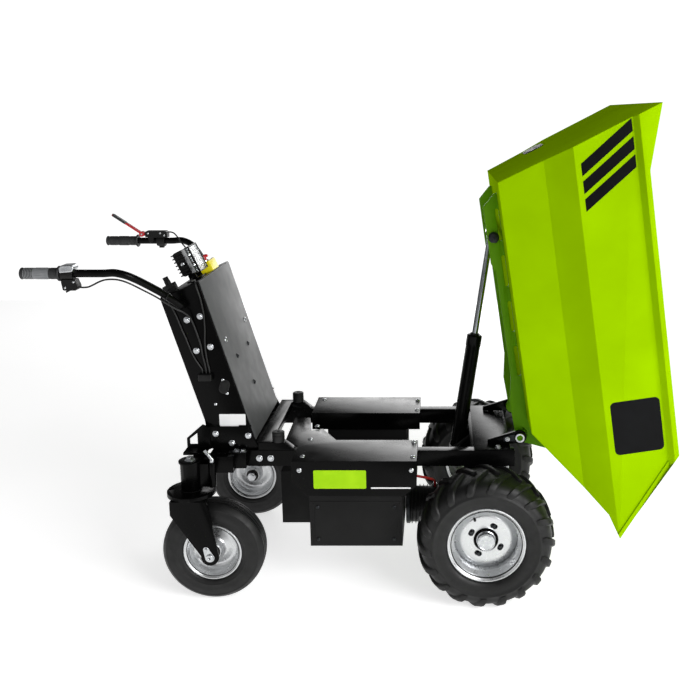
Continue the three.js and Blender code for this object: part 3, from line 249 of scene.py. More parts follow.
def clear_lens(name):
    """Clear polycarbonate, moulded with fine upright flutes that spread the beam."""
    material, tree, shader = start_material(
        name, "#f4f7f8", 0.06, Transmission_Weight=0.92, IOR=1.58, Alpha=1.0
    )
    place = add_node(tree, "ShaderNodeTexCoord")
    settings = {"wave_type": "BANDS", "bands_direction": "Y", "Scale": math.tau / (WAVE * FLUTE * MM)}
    flutes = add_node(tree, "ShaderNodeTexWave", settings, {"Vector": place.outputs["Object"]})
    relief(tree, shader, flutes.outputs["Fac"], 0.5, 0.4)
    return material


def cable_sheath(name, colours):
    """Soft PVC cable sheath: smooth and slightly greasy, with a faint ripple from the cores inside."""
    material, tree, shader = start_material(name, colours[0], 0.42)
    tint(tree, shader, spread(tree, cloud(tree, 20, 3), 0, 1), colours)
    relief(tree, shader, cloud(tree, 5, 2, (1, 1, 0.4)), 0.2, 0.4)
    return material


def vinyl_film(name, colours, roughness):
    """Calendered vinyl film stuck to the paint: flatter than the coat round it, with a faint ripple
    where it follows the sheet."""
    material, tree, shader = start_material(name, colours[0], roughness, Specular_IOR_Level=0.1)
    tint(tree, shader, spread(tree, cloud(tree, 50, 2), 0, 1), colours)
    relief(tree, shader, cloud(tree, 9, 2), 0.06, 0.4)
    return material


LIME = powder_coat("lime_powder_coat", ("#8fbb00", "#96c400"), 0.5, Specular_IOR_Level=0.0)
# A darker, greener copy of the lime coat for the tub's underframe: the same paint, with painted shade in
# its colour.
UNDERFRAME_SHADED_LIME = powder_coat(
    "underframe_coat_painted_shade", ("#5d9400", "#659e00"), 0.5, Specular_IOR_Level=0.1
)
BLACK = powder_coat("black_powder_coat", ("#020202", "#050505"), 0.24, Specular_IOR_Level=0.09)
TOWER_GREY = powder_coat("satin_tower_coat", ("#454647", "#4d4e4f"), 0.46, 3.2, 0.06)
CASE = powder_coat("textured_case_coat", ("#0c0c0c", "#121212"), 0.62, 1.4, 0.16, Specular_IOR_Level=0.2)
TYRE = tyre_rubber("drive_tyre_rubber", 5)
CASTER_TYRE = tyre_rubber("caster_tyre_rubber", 4)
GRIP = moulded_rubber("grip_rubber", ("#1c1d1e", "#2c2d2e"), 0.5, 1.2)
# A pale grey copy of the black grip rubber, for the near grip only: painted light standing in for the
# highlights on that glossy black grip.
GRIP_SLEEVE_PAINTED_LIGHT = moulded_rubber("grip_rubber_painted_highlight", ("#6a6c6e", "#8a8c8e"), 0.36, 1.2)
BUFFER = moulded_rubber("buffer_rubber", ("#0a0a0a", "#101010"), 0.55)
RIM = rim_lacquer("silver_rim_lacquer")
CHROME = plated_steel("hard_chrome", ("#7c8083", "#94989b"), 0.1, (30, 30, 1), 8, 0.004)
ZINC = plated_steel("bright_zinc_plate", ("#b9bcc0", "#d9dbdd"), 0.26)
DARK_STEEL = plated_steel("black_oxide_steel", ("#26282a", "#3c3e40"), 0.36)
PLASTIC = moulded_plastic("black_nylon", ("#070707", "#0d0d0d"), 0.4, Specular_IOR_Level=0.25)
YELLOW = moulded_plastic("yellow_switch_plastic", ("#f0dc00", "#f9ea1c"), 0.36)
RED = moulded_plastic("red_switch_plastic", ("#b3121a", "#cc1c24"), 0.3, 1.4, 0.03)
RED_LACQUER = powder_coat("red_lever_lacquer", ("#a80f18", "#c41c26"), 0.28, 2.0, 0.03)
REFLECTOR = plated_steel("vacuum_metallised_reflector", ("#e3e6e8", "#f2f4f5"), 0.14)
LENS = clear_lens("clear_polycarbonate")
CABLE = cable_sheath("black_cable_sheath", ("#060606", "#0c0c0c"))
RED_CABLE = cable_sheath("red_cable_sheath", ("#8f1114", "#b0181c"))
DECAL_BLACK = vinyl_film("black_vinyl_film", ("#050506", "#090a0c"), 0.3)
DECAL_WHITE = vinyl_film("white_label_film", ("#e6e7e8", "#f2f2f2"), 0.35)
DECAL_LIME = vinyl_film("lime_vinyl_film", ("#96cc0a", "#a6d814"), 0.35)

AXIS_ORDER = {"X": (2, 0, 1), "Y": (0, 2, 1), "Z": (0, 1, 2)}


# ---- Shapes, each added to a bmesh, which is given back ----
def block(bm, low, high, place=IDENTITY):
    """A box between two corners."""
    low, high = Vector(low), Vector(high)
    size = Matrix.Diagonal((*(high - low), 1))
    bmesh.ops.create_cube(bm, size=1, matrix=place @ Matrix.Translation((low + high) / 2) @ size)
    return bm


def prism(bm, outline, axis, start, end, place=IDENTITY):
    """An outline made thick along an axis: its points are (x, z) for Y, (x, y) for Z, (y, z) for X."""
    order = AXIS_ORDER[axis]
    rings = []
    for depth in (start, end):
        points = [(a, b, depth) for a, b in outline]
        rings.append([bm.verts.new(place @ Vector([point[i] for i in order])) for point in points])
    for ring in rings:
        bm.faces.new(ring)
    count = len(outline)
    for i in range(count):
        j = (i + 1) % count
        bm.faces.new((rings[0][i], rings[0][j], rings[1][j], rings[1][i]))
    return bm


def turned(bm, section, sides, axis="Y", place=IDENTITY):
    """A closed section of (radius, along) points turned about an axis, with its own map: U goes
    round it and V is millimetres along the section."""
    order = AXIS_ORDER[axis]
    poles = {i: None for i, (radius, _) in enumerate(section) if radius < 1e-6}
    rings = []
    for k in range(sides):
        angle = math.tau * k / sides
        ring = []
        for i, (radius, along) in enumerate(section):
            if poles.get(i):
                ring.append(poles[i])
                continue
            point = (radius * math.cos(angle), radius * math.sin(angle), along)
            ring.append(bm.verts.new(place @ Vector([point[j] for j in order])))
            if i in poles:
                poles[i] = ring[-1]
        rings.append(ring)
    lengths = [0.0]
    for (r0, a0), (r1, a1) in zip(section, [*section[1:], section[0]]):
        lengths.append(lengths[-1] + math.hypot(r1 - r0, a1 - a0))
    layer = bm.loops.layers.uv.verify()
    count = len(section)
    for k in range(sides):
        here, after = rings[k], rings[(k + 1) % sides]
        for i in range(count):
            j = (i + 1) % count
            corners = [(here[i], k, i), (here[j], k, i + 1)]
            corners += [(after[j], k + 1, i + 1), (after[i], k + 1, i)]
            unique = list({corner[0]: corner for corner in corners}.values())
            if len(unique) < 3 or (i in poles and j in poles):
                continue
            face = bm.faces.new([corner[0] for corner in unique])
            for loop, (_, u, v) in zip(face.loops, unique):
                loop[layer].uv = (u / sides, lengths[v])
    return bm


def smooth_path(points, steps):
    """Points along a smooth curve through the given ones."""
    points = [Vector(point) for point in points]
    padded = [points[0], *points, points[-1]]
    path = [points[0]]
    for before, start, end, after in zip(padded, padded[1:], padded[2:], padded[3:]):
        reach = (end - start).length / 3
        first = start + (end - before).normalized() * reach
        second = end - (after - start).normalized() * reach
        for i in range(1, steps + 1):
            t = i / steps
            inner = start * (1 - t) ** 3 + first * 3 * t * (1 - t) ** 2
            path.append(inner + second * 3 * t * t * (1 - t) + end * t**3)
    return path


def swept(bm, path, radius, sides=14):
    """A round tube along a path, closed at both ends, with its length along V in its map."""
    layer = bm.loops.layers.uv.verify()
    tangents = [(b - a).normalized() for a, b in zip(path, path[1:])]
    tangents = [tangents[0], *[(a + b).normalized() for a, b in zip(tangents, tangents[1:])], tangents[-1]]
    across = tangents[0].orthogonal().normalized()
    rings, lengths = [], [0.0]
    for i, (point, tangent) in enumerate(zip(path, tangents)):
        if i:
            across = tangents[i - 1].rotation_difference(tangent) @ across
            lengths.append(lengths[-1] + (point - path[i - 1]).length)
        other = tangent.cross(across)
        turns = [math.tau * k / sides for k in range(sides)]
        spokes = [across * math.cos(a) + other * math.sin(a) for a in turns]
        rings.append([bm.verts.new(point + spoke * radius) for spoke in spokes])
    for i, (ring, after) in enumerate(zip(rings, rings[1:])):
        for k in range(sides):
            j = (k + 1) % sides
            face = bm.faces.new((ring[k], ring[j], after[j], after[k]))
            for loop, (u, v) in zip(face.loops, ((k, i), (k + 1, i), (k + 1, i + 1), (k, i + 1))):
                loop[layer].uv = (u / sides, lengths[v])
    bm.faces.new(rings[0])
    bm.faces.new(rings[-1])
    return bm


def arc(centre, radius, start, end, steps):
    """Points on an arc, from one angle to another in degrees."""
    angles = [math.radians(start + (end - start) * i / steps) for i in range(steps + 1)]
    return [(centre[0] + radius * math.cos(a), centre[1] + radius * math.sin(a)) for a in angles]


def rounded(low, high, radius, steps=5):
    """The outline of a rectangle with round corners."""
    (x0, y0), (x1, y1) = low, high
    corners = ((x1 - radius, y1 - radius, 0), (x0 + radius, y1 - radius, 90))
    corners += ((x0 + radius, y0 + radius, 180), (x1 - radius, y0 + radius, 270))
    return [point for x, y, turn in corners for point in arc((x, y), radius, turn, turn + 90, steps)]


# ---- Finishing ----
JOIN_MM, JOIN_M = 1e-4, 1e-7  # how near two points are to be one, in each unit


def as_object(name, bm, place=IDENTITY):
    """A bmesh as a new object whose place is in its mesh. Without a place it is in metres already."""
    joined_within = JOIN_MM if place != IDENTITY else JOIN_M
    bmesh.ops.remove_doubles(bm, verts=bm.verts, dist=joined_within)
    bm.transform(place)
    bmesh.ops.recalc_face_normals(bm, faces=bm.faces)
    mesh = bpy.data.meshes.new(name)
    bm.to_mesh(mesh)
    bm.free()
    made = bpy.data.objects.new(name, mesh)
    bpy.context.scene.collection.objects.link(made)
    return made


def settle(piece, material, body, stands_for=()):
    """Gives a piece its material, sets it on its body and hides the CAD nodes that it stands for."""
    if not piece.data.materials:
        piece.data.materials.append(material)
    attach(piece, body)
    if stands_for:
        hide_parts(*stands_for)
    return piece


def keep(
    name, bm, material, body="chassis", place=MACHINE, stands_for=(),
    bevel=0.0, segments=2, sharp=38,
):
    """Turns a bmesh in millimetres into a finished piece; bevel is in millimetres too."""
    piece = as_object(name, bm, place)
    piece.data.shade_smooth()
    if bevel:
        rounding = piece.modifiers.new("edges", "BEVEL")
        rounding.width = bevel * MM
        rounding.segments = segments
        rounding.limit_method = "ANGLE"
        rounding.angle_limit = math.radians(sharp)
        rounding.harden_normals = True
    else:
        piece.data.set_sharp_from_angle(angle=math.radians(sharp))
    return settle(piece, material, body, stands_for)


def from_cad(node):
    """A CAD node's shape as a bmesh in metres, with its loose triangles joined into flat faces."""
    bm = bmesh.new()
    bm.from_mesh(frame["nodes"][node].data)
    for layer in list(bm.loops.layers.uv.values()):
        bm.loops.layers.uv.remove(layer)
    bmesh.ops.remove_doubles(bm, verts=bm.verts, dist=2e-6)
    bmesh.ops.dissolve_limit(bm, angle_limit=math.radians(0.6), verts=bm.verts, edges=bm.edges)
    return bm


def refine(node, material, bevel, body="chassis", holes=None, segments=2, sharp=32):
    """Stands a CAD node's own shape in for it, with rounded edges and with holes cut through it."""
    bm = from_cad(node)
    if holes:
        bm = carve(bm, holes)
    keep(node + "_finished", bm, material, body, IDENTITY, (node,), bevel, segments, sharp)


def evaluated_mesh(source):
    """The mesh that an object's modifiers give, as a mesh of its own."""
    bpy.context.view_layer.update()
    graph = bpy.context.evaluated_depsgraph_get()
    return bpy.data.meshes.new_from_object(source.evaluated_get(graph), depsgraph=graph)


def carve(bm, tool):
    """The first shape with the second cut out of it. Both are used up."""
    solid, cutter = as_object("solid", bm), as_object("cutter", tool)
    cut = solid.modifiers.new("cut", "BOOLEAN")
    cut.object = cutter
    cut.solver = "EXACT"
    left = bmesh.new()
    left.from_mesh(evaluated_mesh(solid))
    for used in (solid, cutter):
        bpy.data.objects.remove(used)
    return left


# ---- Geometry trees for what repeats ----
def start_tree(name, inputs):
    """A geometry tree with named inputs, and the node that they come from."""
    tree = bpy.data.node_groups.new(name, "GeometryNodeTree")
    tree.interface.new_socket("Geometry", in_out="INPUT", socket_type="NodeSocketGeometry")
    tree.interface.new_socket("Geometry", in_out="OUTPUT", socket_type="NodeSocketGeometry")
    for label, kind in {"Part": "Object", "Material": "Material", **inputs}.items():
        tree.interface.new_socket(label, in_out="INPUT", socket_type="NodeSocket" + kind)
    given = add_node(tree, "NodeGroupInput")
    part = add_node(tree, "GeometryNodeObjectInfo", {}, {"Object": given.outputs["Part"]})
    return tree, given.outputs, part.outputs["Geometry"]


def end_tree(tree, given, points, part, rotation):
    """Sets the part on each point, makes the copies real and gives them their material."""
    links = {"Points": points, "Instance": part, "Rotation": rotation}
    copies = add_node(tree, "GeometryNodeInstanceOnPoints", {}, links)
    real = add_node(tree, "GeometryNodeRealizeInstances", {}, {"Geometry": copies.outputs["Instances"]})
    links = {"Geometry": real.outputs["Geometry"], "Material": given["Material"]}
    finished = add_node(tree, "GeometryNodeSetMaterial", {}, links)
    add_node(tree, "NodeGroupOutput", {}, {"Geometry": finished.outputs["Geometry"]})
    return tree


def stud_tree():
    """A part on every vertex, its Z along the vertex's facing: bolts, screws, weld scales, lamp cups."""
    tree, given, part = start_tree("studs", {})
    settings = {"data_type": "FLOAT_VECTOR", "Name": "facing"}
    facing = add_node(tree, "GeometryNodeInputNamedAttribute", settings)
    links = {"Vector": facing.outputs["Attribute"]}
    turn = add_node(tree, "FunctionNodeAlignRotationToVector", {"axis": "Z"}, links)
    return end_tree(tree, given, given["Geometry"], part, turn.outputs["Rotation"])


def ring_tree():
    """A part copied round the Y axis of a wheel: tyre lugs and wheel bolts."""
    tree, given, part = start_tree("ring", {"Count": "Int", "Start": "Float", "Centre": "Vector"})
    links = {"Count": given["Count"], "Position": given["Centre"]}
    points = add_node(tree, "GeometryNodePoints", {}, links)
    index = add_node(tree, "GeometryNodeInputIndex")
    step = add_node(tree, "ShaderNodeMath", {"operation": "DIVIDE", 0: math.tau}, {1: given["Count"]})
    links = {0: index.outputs["Index"], 1: step.outputs["Value"], 2: given["Start"]}
    angle = add_node(tree, "ShaderNodeMath", {"operation": "MULTIPLY_ADD"}, links)
    turn = add_node(tree, "ShaderNodeCombineXYZ", {}, {"Y": angle.outputs["Value"]})
    return end_tree(tree, given, points.outputs["Points"], part, turn.outputs["Vector"])


def row_tree():
    """A part copied along a straight row: the fins of the work light and of the motor."""
    inputs = {"Count": "Int", "Start": "Vector", "Step": "Vector", "Turn": "Vector"}
    tree, given, part = start_tree("row", inputs)
    index = add_node(tree, "GeometryNodeInputIndex")
    settings = {"operation": "SCALE"}
    links = {0: given["Step"], "Scale": index.outputs["Index"]}
    along = add_node(tree, "ShaderNodeVectorMath", settings, links)
    links = {0: given["Start"], 1: along.outputs["Vector"]}
    place = add_node(tree, "ShaderNodeVectorMath", {"operation": "ADD"}, links)
    links = {"Count": given["Count"], "Position": place.outputs["Vector"]}
    points = add_node(tree, "GeometryNodePoints", {}, links)
    return end_tree(tree, given, points.outputs["Points"], part, given["Turn"])


STUDS, RING, ROW = stud_tree(), ring_tree(), row_tree()


def grow(name, tree, part, material, body="chassis", base=None, slot=None, **values):
    """Runs a tree and keeps what it makes as one plain mesh on its body. Part is used up."""
    base = base or bpy.data.meshes.new(name)
    carrier = bpy.data.objects.new(name, base)
    bpy.context.scene.collection.objects.link(carrier)
    nodes = carrier.modifiers.new("nodes", "NODES")
    nodes.node_group = tree
    sockets = {item.name: item.identifier for item in tree.interface.items_tree if item.in_out == "INPUT"}
    for label, value in {"Part": part, "Material": material, **values}.items():
        nodes[sockets[label]] = value
    plain = evaluated_mesh(carrier)
    carrier.modifiers.clear()
    carrier.data = plain
    bpy.data.meshes.remove(base)
    bpy.data.objects.remove(part)
    settle(carrier, material, body)


def studs(name, part, places, material=ZINC, body="chassis", place=MACHINE, slot=None):
    """Copies of a part at (place, facing) pairs given in a frame's millimetres."""
    turn = place.to_3x3().normalized()
    base = bpy.data.meshes.new(name)
    base.from_pydata([place @ Vector(point) for point, _ in places], [], [])
    facing = base.attributes.new("facing", "FLOAT_VECTOR", "POINT")
    for entry, (_, way) in zip(facing.data, places):
        entry.vector = (turn @ Vector(way)).normalized()
    grow(name, STUDS, part, material, body, base, slot)


def template(bm, smooth_below=38):
    """A small part, made once and copied by a tree."""
    part = as_object("part", bm, SCALE)
    part.data.shade_smooth()
    part.data.set_sharp_from_angle(angle=math.radians(smooth_below))
    return part


# ---- Small parts that repeat ----
def hex_bolt(flats, height, washer):
    """A hexagon head with its chamfer, on a flat washer; Z points out of the surface."""
    bm = bmesh.new()
    corner = flats / math.sqrt(3)
    if washer:
        rim = washer / 2
        turned(bm, [(0, -0.5), (rim, -0.5), (rim, 1.2), (rim - 0.5, 1.6), (0, 1.6)], 24, "Z")
    head = [(0, 1), (corner, 1), (corner, height + 0.8), (corner * 0.87, height + 1.6)]
    head += [(0, height + 1.6)]
    turned(bm, head, 6, "Z")
    return template(bm, 25)


def dome_bolt(radius, socket):
    """A button head with a hexagon socket sunk in it."""
    bm = bmesh.new()
    dome = [(x, 0.55 * z) for x, z in arc((0, 0), radius, 0, 60, 5)]
    lip = (socket, dome[-1][1] + 0.15)
    turned(bm, [(0, -0.5), (radius, -0.5), *dome, lip, (socket, 1.2), (0, 1.2)], 24, "Z")
    return template(bm, 50)


def weld_scale(length, height):
    """One scale of a weld bead: a low rounded lump."""
    bm = bmesh.new()
    bmesh.ops.create_icosphere(bm, subdivisions=1, radius=1)
    bmesh.ops.transform(bm, matrix=Matrix.Diagonal((length / 2, length / 2, height, 1)), verts=bm.verts)
    return template(bm, 180)


def bead(start, end, facing, pitch=3.4):
    """Places along a weld, one for each scale."""
    start, end = Vector(start), Vector(end)
    count = max(2, round((end - start).length / pitch))
    return [(start.lerp(end, i / (count - 1)), facing) for i in range(count)]


# ---- Drive wheels ----
WHEEL_BOLTS = 4
BOLT_CIRCLE = 48
BOLTS_START = 62  # degrees up from straight ahead, as the valve's turn is
VALVE_TURN = 118
LUGS_PER_SIDE = 18
LUG_STATIONS = (  # carcass point, top point, trailing angle in degrees, width of the top
    ((193.8, -5), (202.6, -5), 0.0, 13),
    ((193.5, 14), (202.6, 14), 3.4, 14),
    ((192.9, 32), (202.0, 32), 6.9, 16),
    ((190.6, 50), (199.6, 51), 10.2, 18),
    ((186.0, 63), (194.4, 66), 12.8, 21),
    ((179.6, 72), (186.6, 76), 14.8, 22),
    ((170.6, 78.2), (175.5, 81.8), 16.6, 20),
    ((162.5, 80.6), (164.5, 82.2), 17.8, 13),
)
LUG_DRAFT = 5  # extra width at the lug's root
LUG_ROOT = 2  # how deep the root is sunk in the carcass
CARCASS = (
    (101.8, 0), (101.8, 65), (114.6, 65.4), (115.2, 70), (119, 74.6), (128, 78.6), (140, 80.8),
    (151.5, 81.4), (153, 82.6), (156.5, 82.6), (158, 81), (168, 79), (178, 74), (185.5, 64), (190.4, 50),
    (192.9, 32), (193.6, 14), (193.8, 0),
)
RIM_SECTION = (
    (99, 0), (101.5, 0), (101.5, 60), (104, 64.6), (112.4, 65.2), (114, 66.4), (114, 68.2), (112.6, 69.4),
    (110, 69.4), (108.6, 68.2), (107.6, 66.4), (104.5, 65.2), (102.4, 62), (101.2, 56), (98.6, 53.6),
    (97.4, 47), (94, 44.4), (92.8, 38), (92.6, 22), (94.5, 14), (96.6, 8), (99, 6),
)
DISC_SECTION = (
    (98, 4), (98, 9.5), (92, 15), (84, 20.6), (79, 25.8), (75.6, 29.6), (71.5, 31), (60, 31.4), (40, 31.4),
    (36.4, 30.6), (35, 28), (35, 25), (60, 25), (70, 24.4), (76, 20), (88, 9), (93, 4),
)


HUB_SECTION = (
    (0, -40), (33, -40), (33, 12), (38, 15.5), (58, 15.5), (58.6, 16.5), (58.6, 23), (57.6, 24), (34, 24),
    (33, 25), (33, 31), (31, 33), (0, 33),
)
HUB_CAP = (
    (0, 30), (28, 30), (28, 34), (26, 35.5), (26, 49), (24.6, 51), (22.5, 51.6), (21.5, 50.8), (19, 50.6),
    (0, 50.6),
)
MOTOR_SIDE_Y = -95


def both_halves(section):
    """A half section and its mirror image, as one closed section."""
    return [(r, -a) for r, a in reversed(section)] + [point for point in section if point[1] > 0]


def sided(section, side):
    """A section whose along runs outwards on that side of the machine."""
    return [(r, side * a) for r, a in section]


def outwards(side, near, far):
    """Two distances out from the mid-plane on one side of the machine, lowest first."""
    return sorted((side * near, side * far))


def on_both_sides(y, spots):
    """Each (x, z) spot on both sides of the machine, y out from its mid-plane and facing outwards."""
    return [((x, side * y, z), (0, side, 0)) for _, side in SIDES for x, z in spots]


def lug(side):
    """One curved tread bar, from past the middle of the tread out over the shoulder."""
    bm = bmesh.new()
    rows = []
    for (r0, y0), (r1, y1), trail, width in LUG_STATIONS:
        row = []
        for radius, y, half in ((r0 - LUG_ROOT, y0, (width + LUG_DRAFT) / 2), (r1, y1, width / 2)):
            for way in (-1, 1):
                angle = math.radians(trail) + way * half / radius
                row.append(bm.verts.new((radius * math.cos(angle), side * y, radius * math.sin(angle))))
        rows.append([row[0], row[1], row[3], row[2]])
    for here, after in zip(rows, rows[1:]):
        for i in range(4):
            j = (i + 1) % 4
            bm.faces.new((here[i], here[j], after[j], after[i]))
    bm.faces.new(rows[0])
    bm.faces.new(rows[-1])
    bmesh.ops.recalc_face_normals(bm, faces=bm.faces)
    crown = [e for e in bm.edges if e.calc_face_angle(0) > math.radians(50)]
    bmesh.ops.bevel(bm, geom=crown, offset=1.6, segments=1, affect="EDGES", clamp_overlap=True)
    return template(bm, 30)


def wheel_frame(node):
    """A frame at a wheel's middle, in millimetres."""
    return Matrix.Translation(middle(node)) @ SCALE


def round_wheel(degrees):
    """A turn about the axle, from straight ahead and upwards."""
    return Matrix.Rotation(-math.radians(degrees), 4, "Y")


def disc_holes(side):
    """The round windows that the wheel bolts stand in, and the slot that the valve comes through."""
    holes = bmesh.new()
    window = [(BOLT_CIRCLE + u, w) for u, w in rounded((-8, -11.5), (8, 11.5), 7.9)]
    for k in range(WHEEL_BOLTS):
        prism(holes, window, "Y", *outwards(side, 20, 36), round_wheel(BOLTS_START + 360 / WHEEL_BOLTS * k))
    slot = rounded((64.5, -3.6), (77, 3.6), 3.5)
    return prism(holes, slot, "Y", *outwards(side, 14, 36), round_wheel(VALVE_TURN))


def drive_wheel(label, side):
    """The tyre's carcass and its lugs, the rim's barrel and its pierced disc, and the hub."""
    body, rim = f"drive_wheel_{label}", f"drive_rim_{label}"
    place, centre = wheel_frame(rim), middle(rim)
    carcass = turned(bmesh.new(), both_halves(CARCASS), 112)
    keep(f"drive_tyre_carcass_{label}", carcass, TYRE, body, place, (f"drive_tyre_{label}",), sharp=50)
    for half, start in ((1, 0.0), (-1, math.tau / LUGS_PER_SIDE / 2)):
        name = f"tread_lugs_{label}_{'outer' if half * side > 0 else 'inner'}"
        grow(name, RING, lug(half), TYRE, body, Count=LUGS_PER_SIDE, Start=start, Centre=centre)
    barrel = turned(bmesh.new(), both_halves(RIM_SECTION), 96)
    keep(f"drive_rim_barrel_{label}", barrel, RIM, body, place, (rim,), sharp=50)
    disc = carve(turned(bmesh.new(), sided(DISC_SECTION, side), 96), disc_holes(side))
    keep(f"drive_rim_disc_{label}", disc, RIM, body, place, bevel=0.8)
    hub(label, side, body, place, centre)


def hub(label, side, body, place, centre):
    """The hub behind the disc, its bright cap, the wheel bolts and the valve."""
    hub_body = turned(bmesh.new(), sided(HUB_SECTION, side), 64)
    keep(f"wheel_hub_{label}", hub_body, BLACK, body, place, (f"drive_hub_{label}",), sharp=30)
    cap = turned(bmesh.new(), sided(HUB_CAP, side), 48)
    keep(f"hub_cap_{label}", cap, ZINC, body, place, sharp=30)
    at = Matrix.Translation((BOLT_CIRCLE, 0, 0))
    nut = [(0, 22), (10, 22), (10, 27.4), (7.6, 28.6), (0, 28.6)]
    stud = [(0, 26), (5, 26), (5, 36), (4.2, 36.8), (0, 36.8)]
    bolt = turned(bmesh.new(), sided(nut, side), 6, "Y", at)
    turned(bolt, sided(stud, side), 16, "Y", at)
    start = -math.radians(BOLTS_START)
    grow(f"wheel_bolts_{label}", RING, template(bolt, 25), DARK_STEEL, body, slot="silver_rim",
         Count=WHEEL_BOLTS, Start=start, Centre=centre)
    stem = [(0, 10), (4.4, 10), (4, 30), (3.4, 31), (3.4, 38), (2.8, 39), (0, 39)]
    at = round_wheel(VALVE_TURN) @ Matrix.Translation((71, 0, 0))
    keep(f"tyre_valve_{label}", turned(bmesh.new(), sided(stem, side), 20, "Y", at), BUFFER, body, place)


# ---- Casters ----
CASTER_CARCASS = (
    (76.4, 0), (76.4, 34.4), (86.6, 34.6), (87, 37.6), (90, 41), (96.5, 43.4), (99, 43.7), (100, 44.8),
    (102, 44.8), (103, 44.3), (113, 45.0), (122, 44.2), (131, 41.4), (134.4, 40.6), (135.6, 41.2),
    (137.6, 40), (141.6, 36.4), (146.6, 30.4), (148.4, 27.6), (145.4, 26.4), (145.2, 23.8), (149.2, 22.6),
    (150.2, 17), (150.3, 15.6), (146.8, 14.4), (146.8, 11.6), (150.6, 10.4), (150.9, 4), (147.2, 2.6),
    (147.2, 0),
)
CASTER_RIM_SECTION = (
    (72.6, 0), (76, 0), (76, 32), (78, 34.2), (84.6, 34.6), (86, 35.6), (86, 37.2), (84.6, 38.2),
    (82.4, 38.2), (81, 36.8), (79, 34.8), (76.6, 33.6), (75.4, 30), (74.8, 26.4), (72.4, 24.6), (71.8, 21),
    (71.4, 13), (70.4, 11.4),
)
CASTER_DISC = (
    (72.8, -6), (72.8, -1), (69, 4.5), (62, 9), (55, 11.4), (50, 11), (47, 7.5), (43, 3.5), (36, 2.4),
    (30, 4.4), (26, 9), (24, 15), (24, 30.8), (22.6, 32), (12, 32), (12, -32), (22.6, -32), (24, -30.8),
    (24, -15), (28, -6), (36, -2.2), (43, -1), (52, 5.6), (61, 4), (68, -1.4), (70, -6),
)
AXLE_STANDS_OUT = 6  # from the fork's outer face to the axle's end
CAP_BOLT_ROOM = 9  # the height of the cap bolt's head on the swivel tube
TUBE_HEIGHT = 89
SWIVEL_TUBE = 30
SWIVEL_WELD_SCALES = 40


def caster_wheel(label):
    """The ribbed tyre, the pressed rim with its dished disc and the bearing seals."""
    body = f"caster_wheel_{label}"
    place = wheel_frame(f"caster_rim_{label}")
    carcass = turned(bmesh.new(), both_halves(CASTER_CARCASS), 112)
    tyre = f"caster_tyre_{label}"
    keep(f"caster_tyre_carcass_{label}", carcass, CASTER_TYRE, body, place, (tyre,), sharp=50)
    rim = turned(bmesh.new(), both_halves(CASTER_RIM_SECTION), 96)
    turned(rim, CASTER_DISC, 96)
    keep(f"caster_rim_pressing_{label}", rim, RIM, body, place, (f"caster_rim_{label}",), sharp=50)
    seals = bmesh.new()
    seal = [(10.4, 28), (22, 28), (22, 32.6), (20.8, 33.2), (12, 33.2), (10.4, 31)]
    for way in (-1, 1):
        turned(seals, sided(seal, way), 40)
    keep(f"caster_bearing_seals_{label}", seals, BUFFER, body, place)


def axle_ends(label, side, body):
    """The axle's keeper plate and its bolt on the fork's outer face, and the nut on the far end."""
    place = wheel_frame(f"caster_rim_{label}")
    outer = span(f"caster_fork_{label}")[1 if side > 0 else 0].y - middle(f"caster_rim_{label}").y / MM
    face = abs(outer) - AXLE_STANDS_OUT
    outline = arc((0, 0), 14, 205, 375, 12) + arc((-10, 26), 8, 30, 190, 8)
    keeper = prism(bmesh.new(), outline, "Y", *outwards(side, face - 0.2, face + 2.6))
    end = [(0, face), (11.4, face), (11.4, face + 6.6), (10, face + 8)]
    end += [(4, face + 8), (2.6, face + 6), (0, face + 6)]
    turned(keeper, sided(end, side), 32)
    keep(f"axle_keeper_{label}", keeper, ZINC, body, place, bevel=0.7)
    bolt = [((-10, side * (face + 2.4), 26), (0, side, 0))]
    studs(f"axle_keeper_bolt_{label}", hex_bolt(8, 3.4, 0), bolt, ZINC, body, place)
    nut = [(10.2, -47.4), (15.8, -47.4), (15.8, -38), (14, -35.6), (10.2, -35.6)]
    stub = [(0, -50.5), (9.4, -50.5), (10.2, -49.6), (10.2, -36), (0, -36)]
    bm = turned(bmesh.new(), sided(nut, side), 6)
    keep(f"axle_nut_{label}", turned(bm, sided(stub, side), 28), ZINC, body, place, bevel=0.6, sharp=28)


def caster(label, side):
    """The fork with its axle ends, and the housing with its cap bolt, lock pin and swivel weld."""
    body = f"caster_{label}"
    refine(f"caster_fork_{label}", BLACK, 1.6, body)
    axle_ends(label, side, body)
    refine(f"caster_housing_{label}", BLACK, 1.2)
    axis = joint_place(f"caster_{label}_swivel")
    top = span(f"caster_housing_{label}")[1].z - CAP_BOLT_ROOM
    studs(f"caster_cap_bolt_{label}", hex_bolt(20, 9, 30), [((axis.x, axis.y, top), (0, 0, 1))])
    refine(f"lock_pin_{label}", ZINC, 0.8, sharp=40)
    turntable = axis + Vector((0, 0, top - TUBE_HEIGHT))
    scales = []
    for k in range(SWIVEL_WELD_SCALES):
        angle = math.tau * k / SWIVEL_WELD_SCALES
        way = Vector((math.cos(angle), math.sin(angle), 0.6))
        scales.append((turntable + SWIVEL_TUBE * Vector((way.x, way.y, 0)), way))
    studs(f"swivel_weld_{label}", weld_scale(6, 2), scales, BLACK)


for wheel_label, wheel_side in SIDES:
    drive_wheel(wheel_label, wheel_side)
    caster_wheel(wheel_label)
    caster(wheel_label, wheel_side)


# ---- Places beside the tower and the bars ----
LEAN = math.tan(math.radians(16.7))
SHELL_LOW, SHELL_HIGH = span("tower_shell")
TOWER_HALF = SHELL_HIGH.y
TOP_DROP = 53  # how far the tower's top falls from its front to its rear
TOWER_SLOPE = math.atan2(TOP_DROP, 114.1)
PLATE_SKIN = 3.4  # from the shell's front to the front plate's outer face
BRACE_FACE = 191.3  # the outer face of the tower's foot from the mid-plane


def front_x(z):
    """Where the tower's front face is at a height."""
    return SHELL_HIGH.x - (z - SHELL_LOW.z) * LEAN


